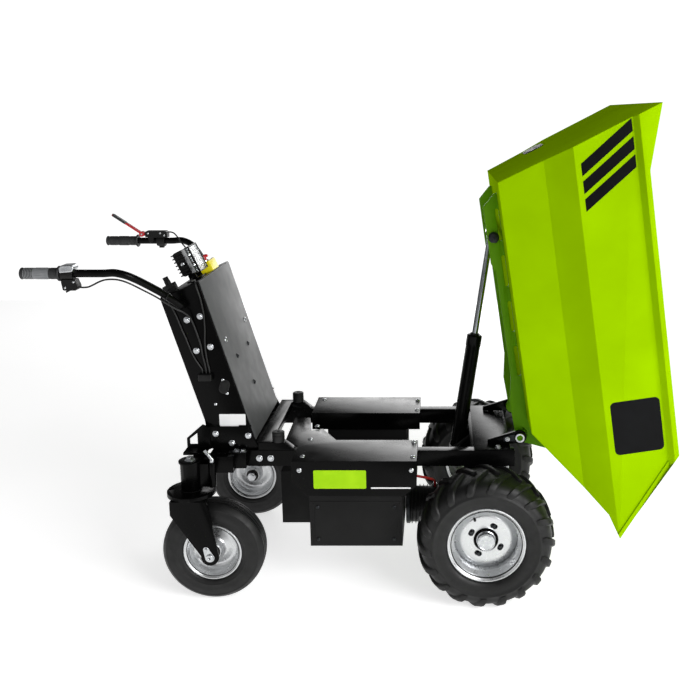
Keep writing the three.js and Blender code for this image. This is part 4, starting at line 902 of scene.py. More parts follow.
def beside_tower(side, behind, out, z):
    """A place behind the tower's front face, out from its side, at a height."""
    return Vector((front_x(z) - behind, side * (TOWER_HALF + out), z))


def beside_bar(side, ahead, out, up):
    """A place ahead of the grip's closed end, out from its axis and up from it."""
    low, high = span("grip_left" if side > 0 else "grip_right")
    return Vector((low.x + ahead, (low.y + high.y) / 2 + side * out, (low.z + high.z) / 2 + up))


def on_top(along, y):
    """A frame on the tower's sloping top: X climbs forward and Z stands off it."""
    rear = Vector((SHELL_LOW.x, 0, SHELL_HIGH.z - TOP_DROP))
    front = Vector((front_x(SHELL_HIGH.z), 0, SHELL_HIGH.z))
    place = rear.lerp(front, along) + Vector((0, y, 0))
    return MACHINE @ Matrix.Translation(place) @ Matrix.Rotation(-TOWER_SLOPE, 4, "Y")


# ---- Free leads, each fastened at both ends ----
GAP = 0.3  # from a lead's end to the face that it is fastened to
THROTTLE_UNDER_BAR = (
    (160 + GAP, 0, -39), (170, 0, -39.5), (184, 0, -38), (198, 0, -32), (214, 0, -24), (232, 0, -18),
    (256, -1, -17), (276, -3, -21), (296, -10, -31), (322, -35, -54), (348, -63, -79), (372, -88, -105),
    (392, -104, -124),
)
THROTTLE_DOWN_TOWER = (
    (65, 21, 850), (58, 9, 832), (57, 4, 808), (57, 3.5, 778), (58, 3.5, 748), (63, 3.5, 718),
    (66, 3.5, 690), (69, 3.5, 672), (72, 3.5, 662 + GAP),
)
BRAKE_PAST_BAR = (
    (214 + GAP, 0, 30), (224, 0, 30), (236, -4, 26), (248, -12, 16), (258, -19, 5), (268, -24, -7),
    (282, -32, -21), (298, -42, -36), (316, -56, -55), (336, -74, -77),
)
BRAKE_DOWN_TOWER = (
    (117, 48, 886), (111, 33, 856), (108, 21, 826), (109, 11, 800), (110, 7, 780), (112, 7, 771),
    (115, 7, 762 + GAP),
)
LIGHT_LEAD = (
    (47, -108.7, 932.4), (46, -95, 931), (41, -77, 930), (35, -57, 931), (27, -37, 934), (18, -19, 938),
    (11, -5, 942), (7, 5, 938), (7, 10, 926), (7, 10, 912), (8, 8, 894), (11, 5, 872), (15, 3.5, 848),
    (22, 3.5, 820), (31, 3.5, 790), (40, 3.5, 765), (47, 3.5, 742), (53, 3.5, 715), (57, 3.5, 690),
    (59, 3.5, 672), (62, 3.5, 662 + GAP),
)
SWITCH_LEAD = (
    (99.4, -16.7, 911.1), (99, -9, 911), (100, 0, 909.5), (102, 6.5, 903), (104, 9, 893), (104, 8, 880),
    (102, 5, 864), (100, 3.3, 845), (98, 3.3, 820), (97, 3.3, 795), (95, 3.3, 772), (94, 3.3, 750),
    (93, 3.3, 726), (89, 3.3, 703), (83, 3.3, 684), (80, 3.3, 672), (83, 3.3, 662 + GAP),
)
MOTOR_FROM_CASE = (
    (GAP, 0, 0), (8, 0, 0), (17, 0.5, -0.5), (27, 2, -2), (37, 4.5, -4.5), (47, 8.5, -8), (57, 14, -12.5),
    (66, 21, -17.5), (74, 29.5, -23),
)
MOTOR_TO_TOP = (
    (-17, -65.5, 57), (-11, -54, 50.5), (-6, -42, 43.5), (-2.5, -30, 36), (-0.5, -18, 27), (0, -8, 17.5),
    (0, -1.5, 8.5), (0, 0, GAP),
)


def lead(node, route, radius, material):
    """One free lead along its route, standing for its CAD tube."""
    path = smooth_path(route, 6)
    tube = swept(bmesh.new(), path, radius)
    piece = keep(node + "_sheath", tube, material, "chassis", MACHINE, (node,), sharp=60)


def leads():
    """The five leads, each from its fastening on the bar, the tower's top or the case."""
    route = [beside_bar(-1, *place) for place in THROTTLE_UNDER_BAR]
    route += [beside_tower(-1, *place) for place in THROTTLE_DOWN_TOWER]
    lead("throttle_cable", route, 2.5, CABLE)
    route = [beside_bar(1, *place) for place in BRAKE_PAST_BAR]
    route += [beside_tower(1, *place) for place in BRAKE_DOWN_TOWER]
    lead("brake_cable", route, 2.5, CABLE)
    route = [beside_tower(-1, *place) for place in LIGHT_LEAD]
    lead("light_cable", route, 2.5, CABLE)
    route = [beside_tower(-1, *place) for place in SWITCH_LEAD]
    lead("switch_cable", route, 2, CABLE)
    case_front = Vector((span("battery_case")[1].x - 3, -200, 345))
    motor_top = Vector((case_front.x + 98, MOTOR_SIDE_Y, 259))
    route = [case_front + Vector(place) for place in MOTOR_FROM_CASE]
    route += [motor_top + Vector(place) for place in MOTOR_TO_TOP]
    lead("motor_cable", route, 4, RED_CABLE)


def zip_tie(name, place, across):
    """A nylon tie round a bar and its leads: a flat band with its square head and its cut tail."""
    band = [(across, -2.2), (across + 1.3, -2.2), (across + 1.3, 2.2), (across, 2.2)]
    tie = turned(bmesh.new(), band, 28, "Z")
    block(tie, (across, -3, -3.2), (across + 5, 3, 3.2))
    block(tie, (across + 3, -0.6, -1.6), (across + 12, 0.6, 1.6))
    keep(name, tie, PLASTIC, place=MACHINE @ place, bevel=0.3)


# ---- Chassis frame ----
FRAME_ROUNDING = {
    "rear_beam": 2.2, "front_deck": 0.8, "rail_left": 2.2, "rail_right": 2.2,
    "rear_cross_tube": 2.4, "cylinder_bracket": 1.2, "tower_base": 0.8,
}
GEARBOX_BOLTS = 8
GEARBOX_CIRCLE = 66
MOTOR_TERMINAL = (-150, MOTOR_SIDE_Y + 14, 256)


def weld(name, runs, material=BLACK, body="chassis", place=MACHINE, size=(6, 2)):
    """Weld beads: each run is a start, an end and the way that its scales face."""
    scales = [spot for start, end, facing in runs for spot in bead(start, end, facing)]
    studs(name, weld_scale(*size), scales, material, body, place)


def chassis_frame():
    """The rails, beam, deck, cross tube, brackets and tower foot, with their welds and bolts."""
    for node, rounding in FRAME_ROUNDING.items():
        refine(node, BLACK, rounding)
    rail_low, rail_high = span("rail_right")
    rear, front, top = rail_low.x, rail_high.x, rail_high.z
    rail_out = -rail_low.y
    tube = span("rear_cross_tube")[0].x
    runs = []
    for _, side in SIDES:
        for x, way in ((tube - 1, -1), (tube + 41, 1)):
            runs.append(((x, side * 176, top + 1), (x, side * 204, top + 1), (way, 0, 1)))
        runs.append(((rear + 1, side * 174, top), (rear + 1, side * 206, top), (0, 0, 1)))
        runs.append(((-60, side * 201.5, 374), (60, side * 201.5, 374), (0, side, -1)))
        runs.append(((rear - 46, side * 226, top - 0.5), (rear - 4, side * 226, top - 0.5), (0, side, 1)))
    weld("frame_welds", runs)
    deck = span("front_deck")[1].z
    bolts = on_both_sides(rail_out, ((rear + 36, top - 25), (rear + 70, top - 25)))
    bolts += [((front - 50, side * 190, deck), (0, 0, 1)) for _, side in SIDES]
    bolts += [((x, side * 213, top), (0, 0, 1)) for _, side in SIDES for x in (rear - 30, rear - 10)]
    studs("frame_bolts", hex_bolt(13, 5.5, 20), bolts)


def buffers():
    """Ribbed rubber buffers on their steel plates."""
    for label, _ in SIDES:
        node = f"rubber_buffer_{label}"
        low, high = span(node)
        centre = (low + high) / 2
        radius, height = (high.x - low.x) / 2, high.z - low.z
        foot = height - 32
        section = [(0, 0), (9, 0), (9, foot), (radius - 1, foot), (radius, foot + 1)]
        section += [(radius, height - 12), (radius - 1.2, height - 11), (radius - 1.2, height - 9.5)]
        section += [(radius, height - 8.5), (radius, height - 2.4), (radius - 1.6, height - 0.6)]
        section += [(radius - 4, height), (5, height), (4.4, height - 3), (0, height - 3)]
        place = MACHINE @ Matrix.Translation((centre.x, centre.y, low.z))
        moulding = turned(bmesh.new(), section, 40, "Z")
        keep(node + "_moulding", moulding, BUFFER, "chassis", place, (node,), sharp=40)


def hinges():
    """The bracket plates with their retaining tabs, and the bright ends of the tub's pins."""
    pivot = joint_place("tub_tip")
    face = span("hinge_bracket_left")[1].y
    keeper = ((-50, -14), (-15.5, -11), (-15.5, 11), (-34, 6), (-50, 1))
    keeper = [(pivot.x + x, pivot.z + z) for x, z in keeper]
    pin_end = [(0, 164), (8.4, 164), (9.6, 168.6), (13.4, 168.6), (14.6, 167.4), (14.6, 160.6)]
    pin_end += [(14.05, 160.6), (14.05, 163.5), (0, 163.5)]
    plug = [(0, 163.8), (8.2, 163.8), (8.2, 165), (7.4, 165.6), (0, 165.6)]
    place = MACHINE @ Matrix.Translation((pivot.x, 0, pivot.z))
    for label, side in SIDES:
        refine(f"hinge_bracket_{label}", BLACK, 0.9)
        tab = prism(bmesh.new(), keeper, "Y", *outwards(side, face, face + 4))
        keep(f"hinge_keeper_{label}", tab, DARK_STEEL, bevel=1)
        bolt = [((pivot.x - 38, side * (face + 4), pivot.z - 5), (0, side, 0))]
        studs(f"hinge_keeper_bolt_{label}", hex_bolt(10, 4, 15), bolt)
        bright = turned(bmesh.new(), sided(pin_end, side), 40)
        keep(f"hinge_pin_end_{label}", bright, ZINC, "tub", place, sharp=30)
        dark = turned(bmesh.new(), sided(plug, side), 32)
        keep(f"hinge_pin_plug_{label}", dark, DARK_STEEL, "tub", place, sharp=30)


def covers():
    """The folded lids beside the rails, their bolts, and the plain band and line on each skirt."""
    skirt = span("side_cover_left")[1].y
    for label, side in SIDES:
        node = f"side_cover_{label}"
        refine(node, BLACK, 1.4)
        low, high = span(node)
        film = outwards(side, skirt - 0.1, skirt + 0.5)
        band = prism(bmesh.new(), rounded((low.x + 112, 343), (high.x - 148, 400), 4), "Y", *film)
        keep(f"cover_band_{label}", band, DECAL_LIME, bevel=0.15)
        line = block(bmesh.new(), (high.x - 134, film[0], 343), (high.x - 18, film[1], 347))
        keep(f"cover_line_{label}", line, DECAL_WHITE)
    top = span("side_cover_right")[1].z
    lid = ((-540, -262), (-214, -143), (-536, -120), (-531, -3), (-543, 268), (-212, 157))
    lid += ((-214, -262), (-212, 262))
    bolts = [((x, y, top), (0, 0, 1)) for x, y in lid]
    bolts += on_both_sides(skirt, ((-217, 400), (-545, 400)))
    studs("cover_bolts", dome_bolt(8, 3), bolts)


def battery_case():
    """The folded case, its lid's seam, its corner screws and the screws in its floor."""
    node = "battery_case"
    low, high = span(node)
    rear, front, floor_z = low.x + 110, high.x, low.z
    refine(node, CASE, 2.6)
    folds = bmesh.new()
    for _, side in SIDES:
        inner, outer = outwards(side, high.y - 0.4, high.y + 1.2)
        block(folds, (rear + 2, inner, 296), (front - 2, outer, 300))
        block(folds, (rear + 8, inner, floor_z + 8), (rear + 14, outer, 294))
        block(folds, (front - 14, inner, floor_z + 8), (front - 8, outer, 294))
    keep("battery_case_folds", folds, CASE, bevel=0.5)
    corners = [(x, z) for x in (rear + 24, front - 24) for z in (floor_z + 22, 282)]
    screws = on_both_sides(high.y + 0.6, corners)
    screws += [((x, y, floor_z), (0, 0, -1)) for x in (rear + 22, front - 22) for y in (-270, 0, 270)]
    studs("battery_case_screws", dome_bolt(5.5, 2), screws, DARK_STEEL, slot="case_black")


def driveline():
    """The axle tube and gearbox with its cover bolts, and the finned motor behind it."""
    refine("drive_axle", PLASTIC, 1.5)
    motor = Vector((AXLE_X, MOTOR_SIDE_Y * MM, middle("drive_rim_right").z))
    fin = turned(bmesh.new(), [(55, -1.2), (55, 1.2), (61, 1.2), (61, -1.2)], 56, "X")
    start = motor + Vector((-222, 0, 0)) * MM
    grow("motor_fins", ROW, template(fin), PLASTIC,
         Count=11, Start=start, Step=(12 * MM, 0, 0), Turn=(0, 0, 0))
    rear_bell = [(0, -240), (59, -240), (61, -238), (61, -229), (59, -227), (0, -227)]
    front_bell = [(0, -84), (63, -84), (65, -82), (65, -70), (0, -70)]
    bells = turned(bmesh.new(), rear_bell, 56, "X")
    turned(bells, front_bell, 56, "X")
    place = Matrix.Translation(motor) @ SCALE
    keep("motor_end_bells", bells, DARK_STEEL, place=place, sharp=30)
    bolts = []
    for way in (-1, 1):
        for k in range(GEARBOX_BOLTS):
            angle = math.tau * (k + 0.5) / GEARBOX_BOLTS
            x, z = GEARBOX_CIRCLE * math.cos(angle), motor.z / MM + GEARBOX_CIRCLE * math.sin(angle)
            bolts.append(((x, MOTOR_SIDE_Y + way * 55, z), (0, way, 0)))
    studs("gearbox_bolts", hex_bolt(10, 4, 0), bolts)
    terminal = turned(bmesh.new(), [(0, 0), (9, 0), (9, 7), (7, 8), (6, 12), (0, 12)], 24, "Z")
    keep("motor_terminal", terminal, ZINC, place=MACHINE @ Matrix.Translation(MOTOR_TERMINAL), sharp=30)


# ---- Control tower ----
def tower():
    """The folded shell, its grey front plate, the bolts, the blank label and the covered socket."""
    refine("tower_shell", BLACK, 1.8)
    refine("tower_front_plate", TOWER_GREY, 0.9)
    for entry in ("cable_entry_left", "cable_entry_right"):
        refine(entry, PLASTIC, 3.5, segments=3)
    refine("key_switch", PLASTIC, 1.0)
    bolts = on_both_sides(TOWER_HALF, ((-880, 824), (-841, 835), (-857, 730), (-815, 742)))
    bolts += on_both_sides(BRACE_FACE, ((-811, 473), (-713, 467), (-763, 443)))
    studs("tower_side_bolts", hex_bolt(13, 6, 19), bolts)
    ahead = (math.cos(math.atan(LEAN)), 0, math.sin(math.atan(LEAN)))
    heads = [((front_x(751) + PLATE_SKIN, y, 751), ahead) for y in (-133, 133)]
    studs("tower_front_bolts", dome_bolt(9, 3.4), heads)
    dark = ((-76, 685), (76, 685), (0, 578))
    heads = [((front_x(z) + PLATE_SKIN, y, z), ahead) for y, z in dark]
    studs("tower_front_screws", dome_bolt(8, 3), heads, DARK_STEEL, slot="frame_black")
    small = on_both_sides(TOWER_HALF, [(-808, 564)]) + on_both_sides(TOWER_HALF, ((-783, 640), (-772, 598)))
    studs("tower_small_screws", dome_bolt(5, 1.8), small)
    runs = []
    for _, side in SIDES:
        y = side * (TOWER_HALF + 1.5)
        for x0, x1 in ((-826, -800), (-738, -706)):
            runs.append(((x0, y, 496.4), (x1, y, 496.4), (0, side, 1)))
    weld("tower_base_welds", runs, size=(6.5, 2.6))
    socket_and_label()


def socket_and_label():
    """A blank plate near the foot and an oval socket cover, raised on its gasket."""
    oval = Matrix.Translation((-779, 0, 619)) @ Matrix.Rotation(math.atan(LEAN), 4, "Y")
    gasket = rounded((-15, -22), (15, 22), 14.9, 8)
    lid = rounded((-11.5, -18), (11.5, 18), 11.4, 8)
    for label, side in SIDES:
        if side < 0:
            film = outwards(side, TOWER_HALF - 0.1, TOWER_HALF + 0.7)
            plate = prism(bmesh.new(), rounded((-799, 492), (-720, 533), 2), "Y", *film)
            keep("blank_plate", plate, DECAL_WHITE, bevel=0.2)
        depth = outwards(side, TOWER_HALF - 0.2, TOWER_HALF + 2.4)
        keep(f"socket_gasket_{label}", prism(bmesh.new(), gasket, "Y", *depth, oval), BUFFER, bevel=0.8)
        depth = outwards(side, TOWER_HALF + 2.2, TOWER_HALF + 6)
        keep(f"socket_cover_{label}", prism(bmesh.new(), lid, "Y", *depth, oval), PLASTIC, bevel=1.4)


# ---- On the tower's top ----
def work_light():
    """A finned housing on a stirrup, with its lamp behind a clear lens and its side screws."""
    place = on_top(0.65, -46)
    stirrup = prism(bmesh.new(), rounded((-26, -30), (26, 30), 5), "Z", 0.3, 4.5)
    for way in (-1, 1):
        prism(stirrup, [(-13, 3), (13, 3), (10, 40), (-10, 40)], "Y", way * 26, way * 29.5)
    block(stirrup, (-13, -29, 3), (13, 29, 6))
    keep("work_light_stirrup", stirrup, BLACK, place=place, bevel=0.8)
    shell = [(-27, 26), (-20, 22), (8, 22), (8, 100), (-20, 100), (-27, 96)]
    shell = prism(bmesh.new(), shell, "Y", -28, 28)
    keep("work_light_body", shell, PLASTIC, "chassis", place, ("work_light_housing",), bevel=2)
    plan = [(-33, -27), (-27, -40), (8, -40), (8, 40), (-27, 40), (-33, 27)]
    fin = template(prism(bmesh.new(), plan, "Z", -1.7, 1.7))
    step = place.to_3x3() @ Vector((0, 0, 11.2))
    start = place @ Vector((0, 0, 28))
    grow("work_light_fins", ROW, fin, PLASTIC, Count=7, Start=start, Step=step, Turn=(0, -TOWER_SLOPE, 0))
    work_light_lamp(place)
    screws = [((-6, way * 40, 60), (0, way, 0)) for way in (-1, 1)]
    studs("work_light_screws", dome_bolt(6, 2), screws, place=place)


def work_light_lamp(place):
    """The bright reflector box, the black bezel, the clear lens and the small cups of its lamps."""
    box = bmesh.new()
    for low, high in (
        ((8, -39, 22), (22, -38, 100)), ((8, 38, 22), (22, 39, 100)), ((8, -39, 22), (22, 39, 23)),
        ((8, -39, 99), (22, 39, 100)), ((7.5, -39, 22), (9, 39, 100)),
    ):
        block(box, low, high)
    keep("work_light_reflector", box, REFLECTOR, place=place)
    bezel = prism(bmesh.new(), [(43.4, 18), (43.4, 102.4), (-43.4, 102.4), (-43.4, 18)], "X", 30, 36)
    prism(bezel, [(43, 18.4), (43, 102), (-43, 102), (-43, 18.4)], "X", 21, 24)
    hole = prism(bmesh.new(), rounded((-39.6, 20.6), (39.6, 97.6), 4), "X", 18, 40)
    keep("work_light_bezel", carve(bezel, hole), PLASTIC, place=place, bevel=0.8)
    pane = prism(bmesh.new(), rounded((-39.4, 20.8), (39.4, 97.4), 4), "X", 31, 33.4)
    keep("work_light_cover", pane, LENS, "chassis", place, ("work_light_lens",))
    cup = turned(bmesh.new(), [(0, 9), (11, 9), (11, 16), (10, 16), (6, 10), (0, 10)], 28, "Z")
    turned(cup, [(0, 9.6), (3.6, 9.6), (3.2, 12.4), (0, 13.2)], 20, "Z")
    spots = [((0, y, z), (1, 0, 0)) for y in (-24, 0, 24) for z in (42, 76)]
    studs("work_light_diodes", template(cup), spots, REFLECTOR, place=place)


def emergency_stop():
    """The yellow box with its lid screws and the red mushroom head in its pale collar."""
    refine("emergency_stop_box", YELLOW, 2.4, segments=3)
    place = on_top(0.8, 40)
    screws = [((x, y, 34), (0, 0, 1)) for x in (-18, 18) for y in (-29, 29)]
    studs("emergency_stop_screws", dome_bolt(3.4, 1.2), screws, place=place)
    collar = turned(bmesh.new(), [(0, 33.8), (16, 33.8), (16, 37), (14.6, 38.2), (0, 38.2)], 40, "Z")
    keep("emergency_stop_collar", collar, REFLECTOR, place=place, sharp=40)
    section = [(0, 38), (10, 38), (10.4, 45), (17, 45), (18.8, 46.4), (19, 49), (17.8, 52.6), (14, 55)]
    section += [(8, 56), (0, 56.2)]
    head = turned(bmesh.new(), section, 48, "Z")
    keep("emergency_stop_head", head, RED, "chassis", place, ("emergency_stop_button",), sharp=40)


# ---- Handlebars and controls ----
BAR_STATIONS = (  # ahead of the grip's end, out and up, along the bent bar
    (6, 0, 0), (60, 0, 0), (150, 0, 0), (228, 0, 0), (262, 0, 1), (300, -14, -14), (355, -72, -65),
    (376, -100, -91), (402, -119, -118),
)
GRIP_RIBS = 14


def handlebars():
    """The bent bars with their bosses, the ribbed grips and the tie round the near lead."""
    boss_section = [(0, TOWER_HALF + 0.4), (15, TOWER_HALF + 0.4), (15, 200), (13, 203), (0, 203)]
    for label, side in SIDES:
        bar = swept(bmesh.new(), smooth_path([beside_bar(side, *spot) for spot in BAR_STATIONS], 7), 11, 24)
        boss = beside_bar(side, 398, 0, -115)
        turned(bar, sided(boss_section, side), 32, "Y", Matrix.Translation((boss.x, 0, boss.z)))
        keep(f"handlebar_tube_{label}", bar, BLACK, "chassis", MACHINE, (f"handlebar_{label}",), sharp=50)
        bolt = [((boss.x, side * 203, boss.z), (0, side, 0))]
        studs(f"handlebar_bolt_{label}", dome_bolt(9, 4), bolt)
        grip(label, side)
    start, end = beside_bar(-1, *BAR_STATIONS[-3]), beside_bar(-1, *BAR_STATIONS[-2])
    turn = (end - start).to_track_quat("Z", "Y").to_matrix().to_4x4()
    oval = Matrix.Diagonal((0.76, 1, 1, 1))
    centre = start.lerp(end, 0.5) - Vector((0, 0, 4.5))
    zip_tie("lead_tie", Matrix.Translation(centre) @ turn @ oval, 15.8)


def rings(start, pitch, count):
    """The section of a grip's fine raised rings, from start along it."""
    ring = ((15.4, 0), (16.1, 1), (16.1, 2.6))
    return [(radius, start + along + pitch * k) for k in range(count) for radius, along in ring]


def grip(label, side):
    """A moulded grip: a domed end, fine rings, long ribs on its barrel and a collar."""
    place = MACHINE @ Matrix.Translation(beside_bar(side, 0, 0, 0))
    section = [(0, 0.4), (8, 0), (14, 1.2), (16.4, 3.2), (16.6, 5.4), (15.2, 7.2), (15.4, 10)]
    section += [*rings(13, 4.2, 6), (15.2, 40), (15.8, 60), (15.6, 80), *rings(84, 4, 5)]
    section += [(15.6, 104.6), (20.4, 105.6), (21.5, 107), (21.3, 109.6), (20, 111), (11.4, 111)]
    section += [(11.4, 100), (0, 100)]
    moulding = turned(bmesh.new(), section, 48, "X")
    keep(f"grip_moulding_{label}", moulding, GRIP, "chassis", place, (f"grip_{label}",), sharp=45)
    # The near grip's sleeve and ribs take the pale copy of the grip rubber, which paints the light on them.
    sleeve_rubber = GRIP_SLEEVE_PAINTED_LIGHT if side < 0 else GRIP
    if side < 0:
        sleeve = turned(bmesh.new(), [(14.8, 11), (15.9, 12), (16, 60), (15.9, 81), (14.8, 82)], 48, "X")
        keep("grip_sleeve", sleeve, GRIP_SLEEVE_PAINTED_LIGHT, place=place, sharp=45)
    ribs = bmesh.new()
    for k in range(GRIP_RIBS):
        turn = Matrix.Rotation(math.tau * k / GRIP_RIBS, 4, "X") @ Matrix.Translation((0, 0, 15.2))
        prism(ribs, [(42, 0), (44, 1.3), (76, 1.3), (78, 0)], "Y", -1.1, 1.1, turn)
    keep(f"grip_ribs_{label}", ribs, sleeve_rubber, place=place, bevel=0.4)


def throttle():
    """The thumb throttle: clamp, bright lid, hanging pod and its cable nose."""
    place = MACHINE @ Matrix.Translation(beside_bar(-1, 113, 0, 0))
    clamp = [(11.3, 0), (17.4, 0), (18.6, 1.2), (18.6, 33.8), (17.4, 35), (11.3, 35)]
    pod = turned(bmesh.new(), clamp, 48, "X")
    side_view = [(5, -44), (9, -46), (40, -46), (47, -40), (47, -33), (40, -15), (2, -15), (2, -24)]
    prism(pod, side_view, "Y", -14, 14)
    keep("throttle_body", pod, PLASTIC, "chassis", place, ("throttle",), bevel=2.2, segments=3)
    side_view = [(0, 3), (36, 6), (42, 16), (40, 24), (32, 26.5), (6, 25), (-1, 17)]
    lid = prism(bmesh.new(), side_view, "Y", -19.4, 19.4)
    keep("throttle_lid", lid, ZINC, place=place, bevel=6, segments=4)
    side_view = [(8, -30), (18, -30), (14, -52), (2, -58), (0, -54), (7, -48)]
    lever = prism(bmesh.new(), side_view, "Y", 14, 19)
    keep("throttle_thumb_lever", lever, PLASTIC, place=place, bevel=1.2)
    screws = [((x, -14, z), (0, -1, 0)) for x, z in ((12, -38), (36, -22))]
    studs("throttle_screws", dome_bolt(3.2, 1.2), screws, place=place)


def brake():
    """The brake's clamp and switch box, and the red lever with its dark sleeve."""
    place = MACHINE @ Matrix.Translation(beside_bar(1, 138, 0, 0))
    clamp = [(11.3, 38), (17.6, 38), (18.8, 39.2), (18.8, 64.8), (17.6, 66), (11.3, 66)]
    bm = turned(bmesh.new(), clamp, 40, "X")
    prism(bm, [(0, 14), (38, 12), (76, 12), (76, 30), (70, 35), (4, 35), (0, 31)], "Y", -14, 14)
    prism(bm, [(8, 14), (30, 14), (26, -6), (12, -6)], "Y", -13, -9)
    block(bm, (44, -6, -24), (60, 6, -16))
    keep("brake_body", bm, PLASTIC, "chassis", place, ("brake_housing",), bevel=1.6)
    refine("brake_lever", RED_LACQUER, 1.4)
    lever = place @ Matrix.Translation((-13, 0, 24)) @ Matrix.Rotation(math.radians(34), 4, "Y")
    sleeve = prism(bmesh.new(), rounded((-121, -9.8), (-62, 9.8), 8), "Z", -3.8, 3.8)
    keep("brake_lever_sleeve", sleeve, GRIP, place=lever, bevel=1.6)
    screws = [((x, -14, z), (0, -1, 0)) for x, z in ((10, 27), (66, 20), (52, 28))]
    screws += [((-13, -12, 24), (0, -1, 0))]
    studs("brake_screws", dome_bolt(3.6, 1.4), screws, place=place)


# ---- Tub ----
SHOULDER = 343.5  # the outer face of the tub's upper side from the mid-plane
BACK_LEAN = math.radians(18.8)
FILM = (SHOULDER - 0.1, SHOULDER + 0.5)  # the plain marks, just sunk in that face
SEAMS = (
    ((-740, 262, 2), (-783, 292, 129)), ((-783, 292, 129), (-810, 341, 207)),
    ((-810, 342, 207), (-868, 342, 378)),
)


def tub():
    """The welded tub, a dark rubber plug in its back wall that paints the shade inside a hand hole, its
    plain marks and its seams.
    """
    refine("tub", LIME, 1.3, "tub", sharp=14)
    back = TUB @ Matrix.Translation((-740, 0, 0)) @ Matrix.Rotation(-BACK_LEAN, 4, "Y")
    # A dark rubber plate stands where the back wall shows a shaded hand hole: painted shade.
    plug = prism(bmesh.new(), rounded((140, 128), (262, 196), 33.5, 10), "X", -1.6, -0.2)
    prism(plug, rounded((146, 134), (256, 190), 27.5, 10), "X", -2.8, -1.5)
    keep("hand_hole_plug", plug, BUFFER, "tub", back, bevel=0.5)
    for label, side in SIDES:
        marks = bmesh.new()
        film = outwards(side, *FILM)
        for x in (-668, -716, -764):
            prism(marks, [(x, 222), (x + 34, 222), (x - 66, 368), (x - 100, 368)], "Y", *film)
        prism(marks, rounded((-88, 224), (70, 364), 14), "Y", *film)
        keep(f"tub_marks_{label}", marks, DECAL_BLACK, "tub", TUB, bevel=0.15)
    seams = []
    for _, side in SIDES:
        for (x0, y0, z0), (x1, y1, z1) in SEAMS:
            seams.append(((x0, side * y0, z0), (x1, side * y1, z1), (-1, side, 0)))
    weld("tub_seam_welds", seams, LIME, "tub", TUB, (6, 1.6))


def underframes():
    """The tub's side members: long slots by the floor, stitch welds and pin bolts, and the rim's edge."""
    for label, side in SIDES:
        slots = bmesh.new()
        for start in (-655, -515, -375, -235):
            prism(slots, rounded((start, -12), (start + 95, -1), 5), "Y", *outwards(side, 120, 150), TUB)
        # The underframe takes the darker copy of the lime coat, which paints the shade on it.
        refine(f"underframe_{label}", UNDERFRAME_SHADED_LIME, 0.9, "tub", slots)
        spot = [((-572, side * 136, -26), (0, side, 0))]
        studs(f"rod_pin_bolt_{label}", hex_bolt(28, 12, 33), spot, DARK_STEEL, "tub", TUB)
    runs = []
    for _, side in SIDES:
        for start in (-690, -550, -410, -270, -130, -30):
            runs.append(((start, side * 137, -1.6), (start + 28, side * 137, -1.6), (0, side, -1)))
        spots = [(x, side * 136.6, z) for x, z in arc((46, -32), 24, 40, 150, 8)]
        runs += [(a, b, (0, side, 0)) for a, b in zip(spots, spots[1:])]
    # The stitch welds take the same darker copy of the lime coat, with its painted shade.
    weld("underframe_welds", runs, UNDERFRAME_SHADED_LIME, "tub", TUB)
    lip = bmesh.new()
    for _, side in SIDES:
        y0, y1 = side * 358, side * 361.4
        prism(lip, [(y0, 386), (y1, 386), (y1, 400), (y0, 400)], "X", -700, 84)
    edge = [(124.6, 371), (325, 208), (311, 204), (105.5, 371)]
    for _, side in SIDES:
        prism(lip, edge, "Y", *outwards(side, SHOULDER - 0.2, SHOULDER + 4.5))
    keep("tub_rim_edge", lip, LIME, "tub", TUB, bevel=1.2)


# ---- Tipping cylinder ----
ROD_EYE = 719.74  # from the cylinder's base pin to the rod's eye


def cylinder():
    """The painted barrel with its gland, wiper and base eye, and the polished rod and its eye."""
    body = "cylinder_barrel_body"
    section = [(9.9, 388), (20, 388), (24, 385), (24, 352), (22.8, 350), (22.8, 26), (24, 22), (24, 14)]
    section += [(0, 14), (0, 60), (9.9, 60)]
    tube = turned(bmesh.new(), section, 64, "Z")
    turned(tube, [(10.4, -24), (24, -24), (24, 24), (10.4, 24)], 56, "Y")
    keep("cylinder_tube", tube, BLACK, body, CYLINDER, ("cylinder_barrel",), bevel=0.8)
    wiper = turned(bmesh.new(), [(9.6, 384), (15, 384), (15, 391), (13, 392.6), (9.6, 392.6)], 40, "Z")
    keep("rod_wiper", wiper, BUFFER, body, CYLINDER)
    rod = turned(bmesh.new(), [(0, 356), (9.5, 356), (9.5, 700), (12, 702), (12, 708), (0, 708)], 48, "Z")
    eye = Matrix.Translation((0, 0, ROD_EYE))
    turned(rod, [(9.2, -13), (16.4, -13), (17, -12.4), (17, 12.4), (16.4, 13), (9.2, 13)], 48, "Y", eye)
    keep("polished_rod", rod, CHROME, "cylinder_rod_body", CYLINDER, ("cylinder_rod",), sharp=30)
    pin = bmesh.new()
    for way in (-1, 1):
        turned(pin, sided([(0, 34), (13, 34), (13, 39), (11, 41), (0, 41)], way), 32)
    place = Matrix.Translation(CYLINDER.to_translation()) @ SCALE
    keep("cylinder_pin_ends", pin, ZINC, place=place, sharp=30)


leads()
chassis_frame()
buffers()
hinges()
covers()
battery_case()
driveline()
tower()
work_light()
emergency_stop()
handlebars()
throttle()
brake()
tub()
underframes()
cylinder()


# ---- Camera, floor and light ----
SENSOR = 36
FOCAL_LENGTH = 45.5
FRAMING = (-0.131, -0.082)  # the lens shift, in widths of the picture
EYE = (-0.1364, -2.7098, 1.4172)  # metres from the axle's middle on the floor
TILT = 11.33  # degrees down from level
FLOOR_HALF = 4
FLOOR_GLOW = 0.64  # lifts the floor to the paleness of a lit studio sweep
HORIZON, OVERHEAD = 0.95, 0.3
BACKDROP = 2.6  # what the lens sees past the floor, and nothing else does
SKY_STRENGTH = 0.42


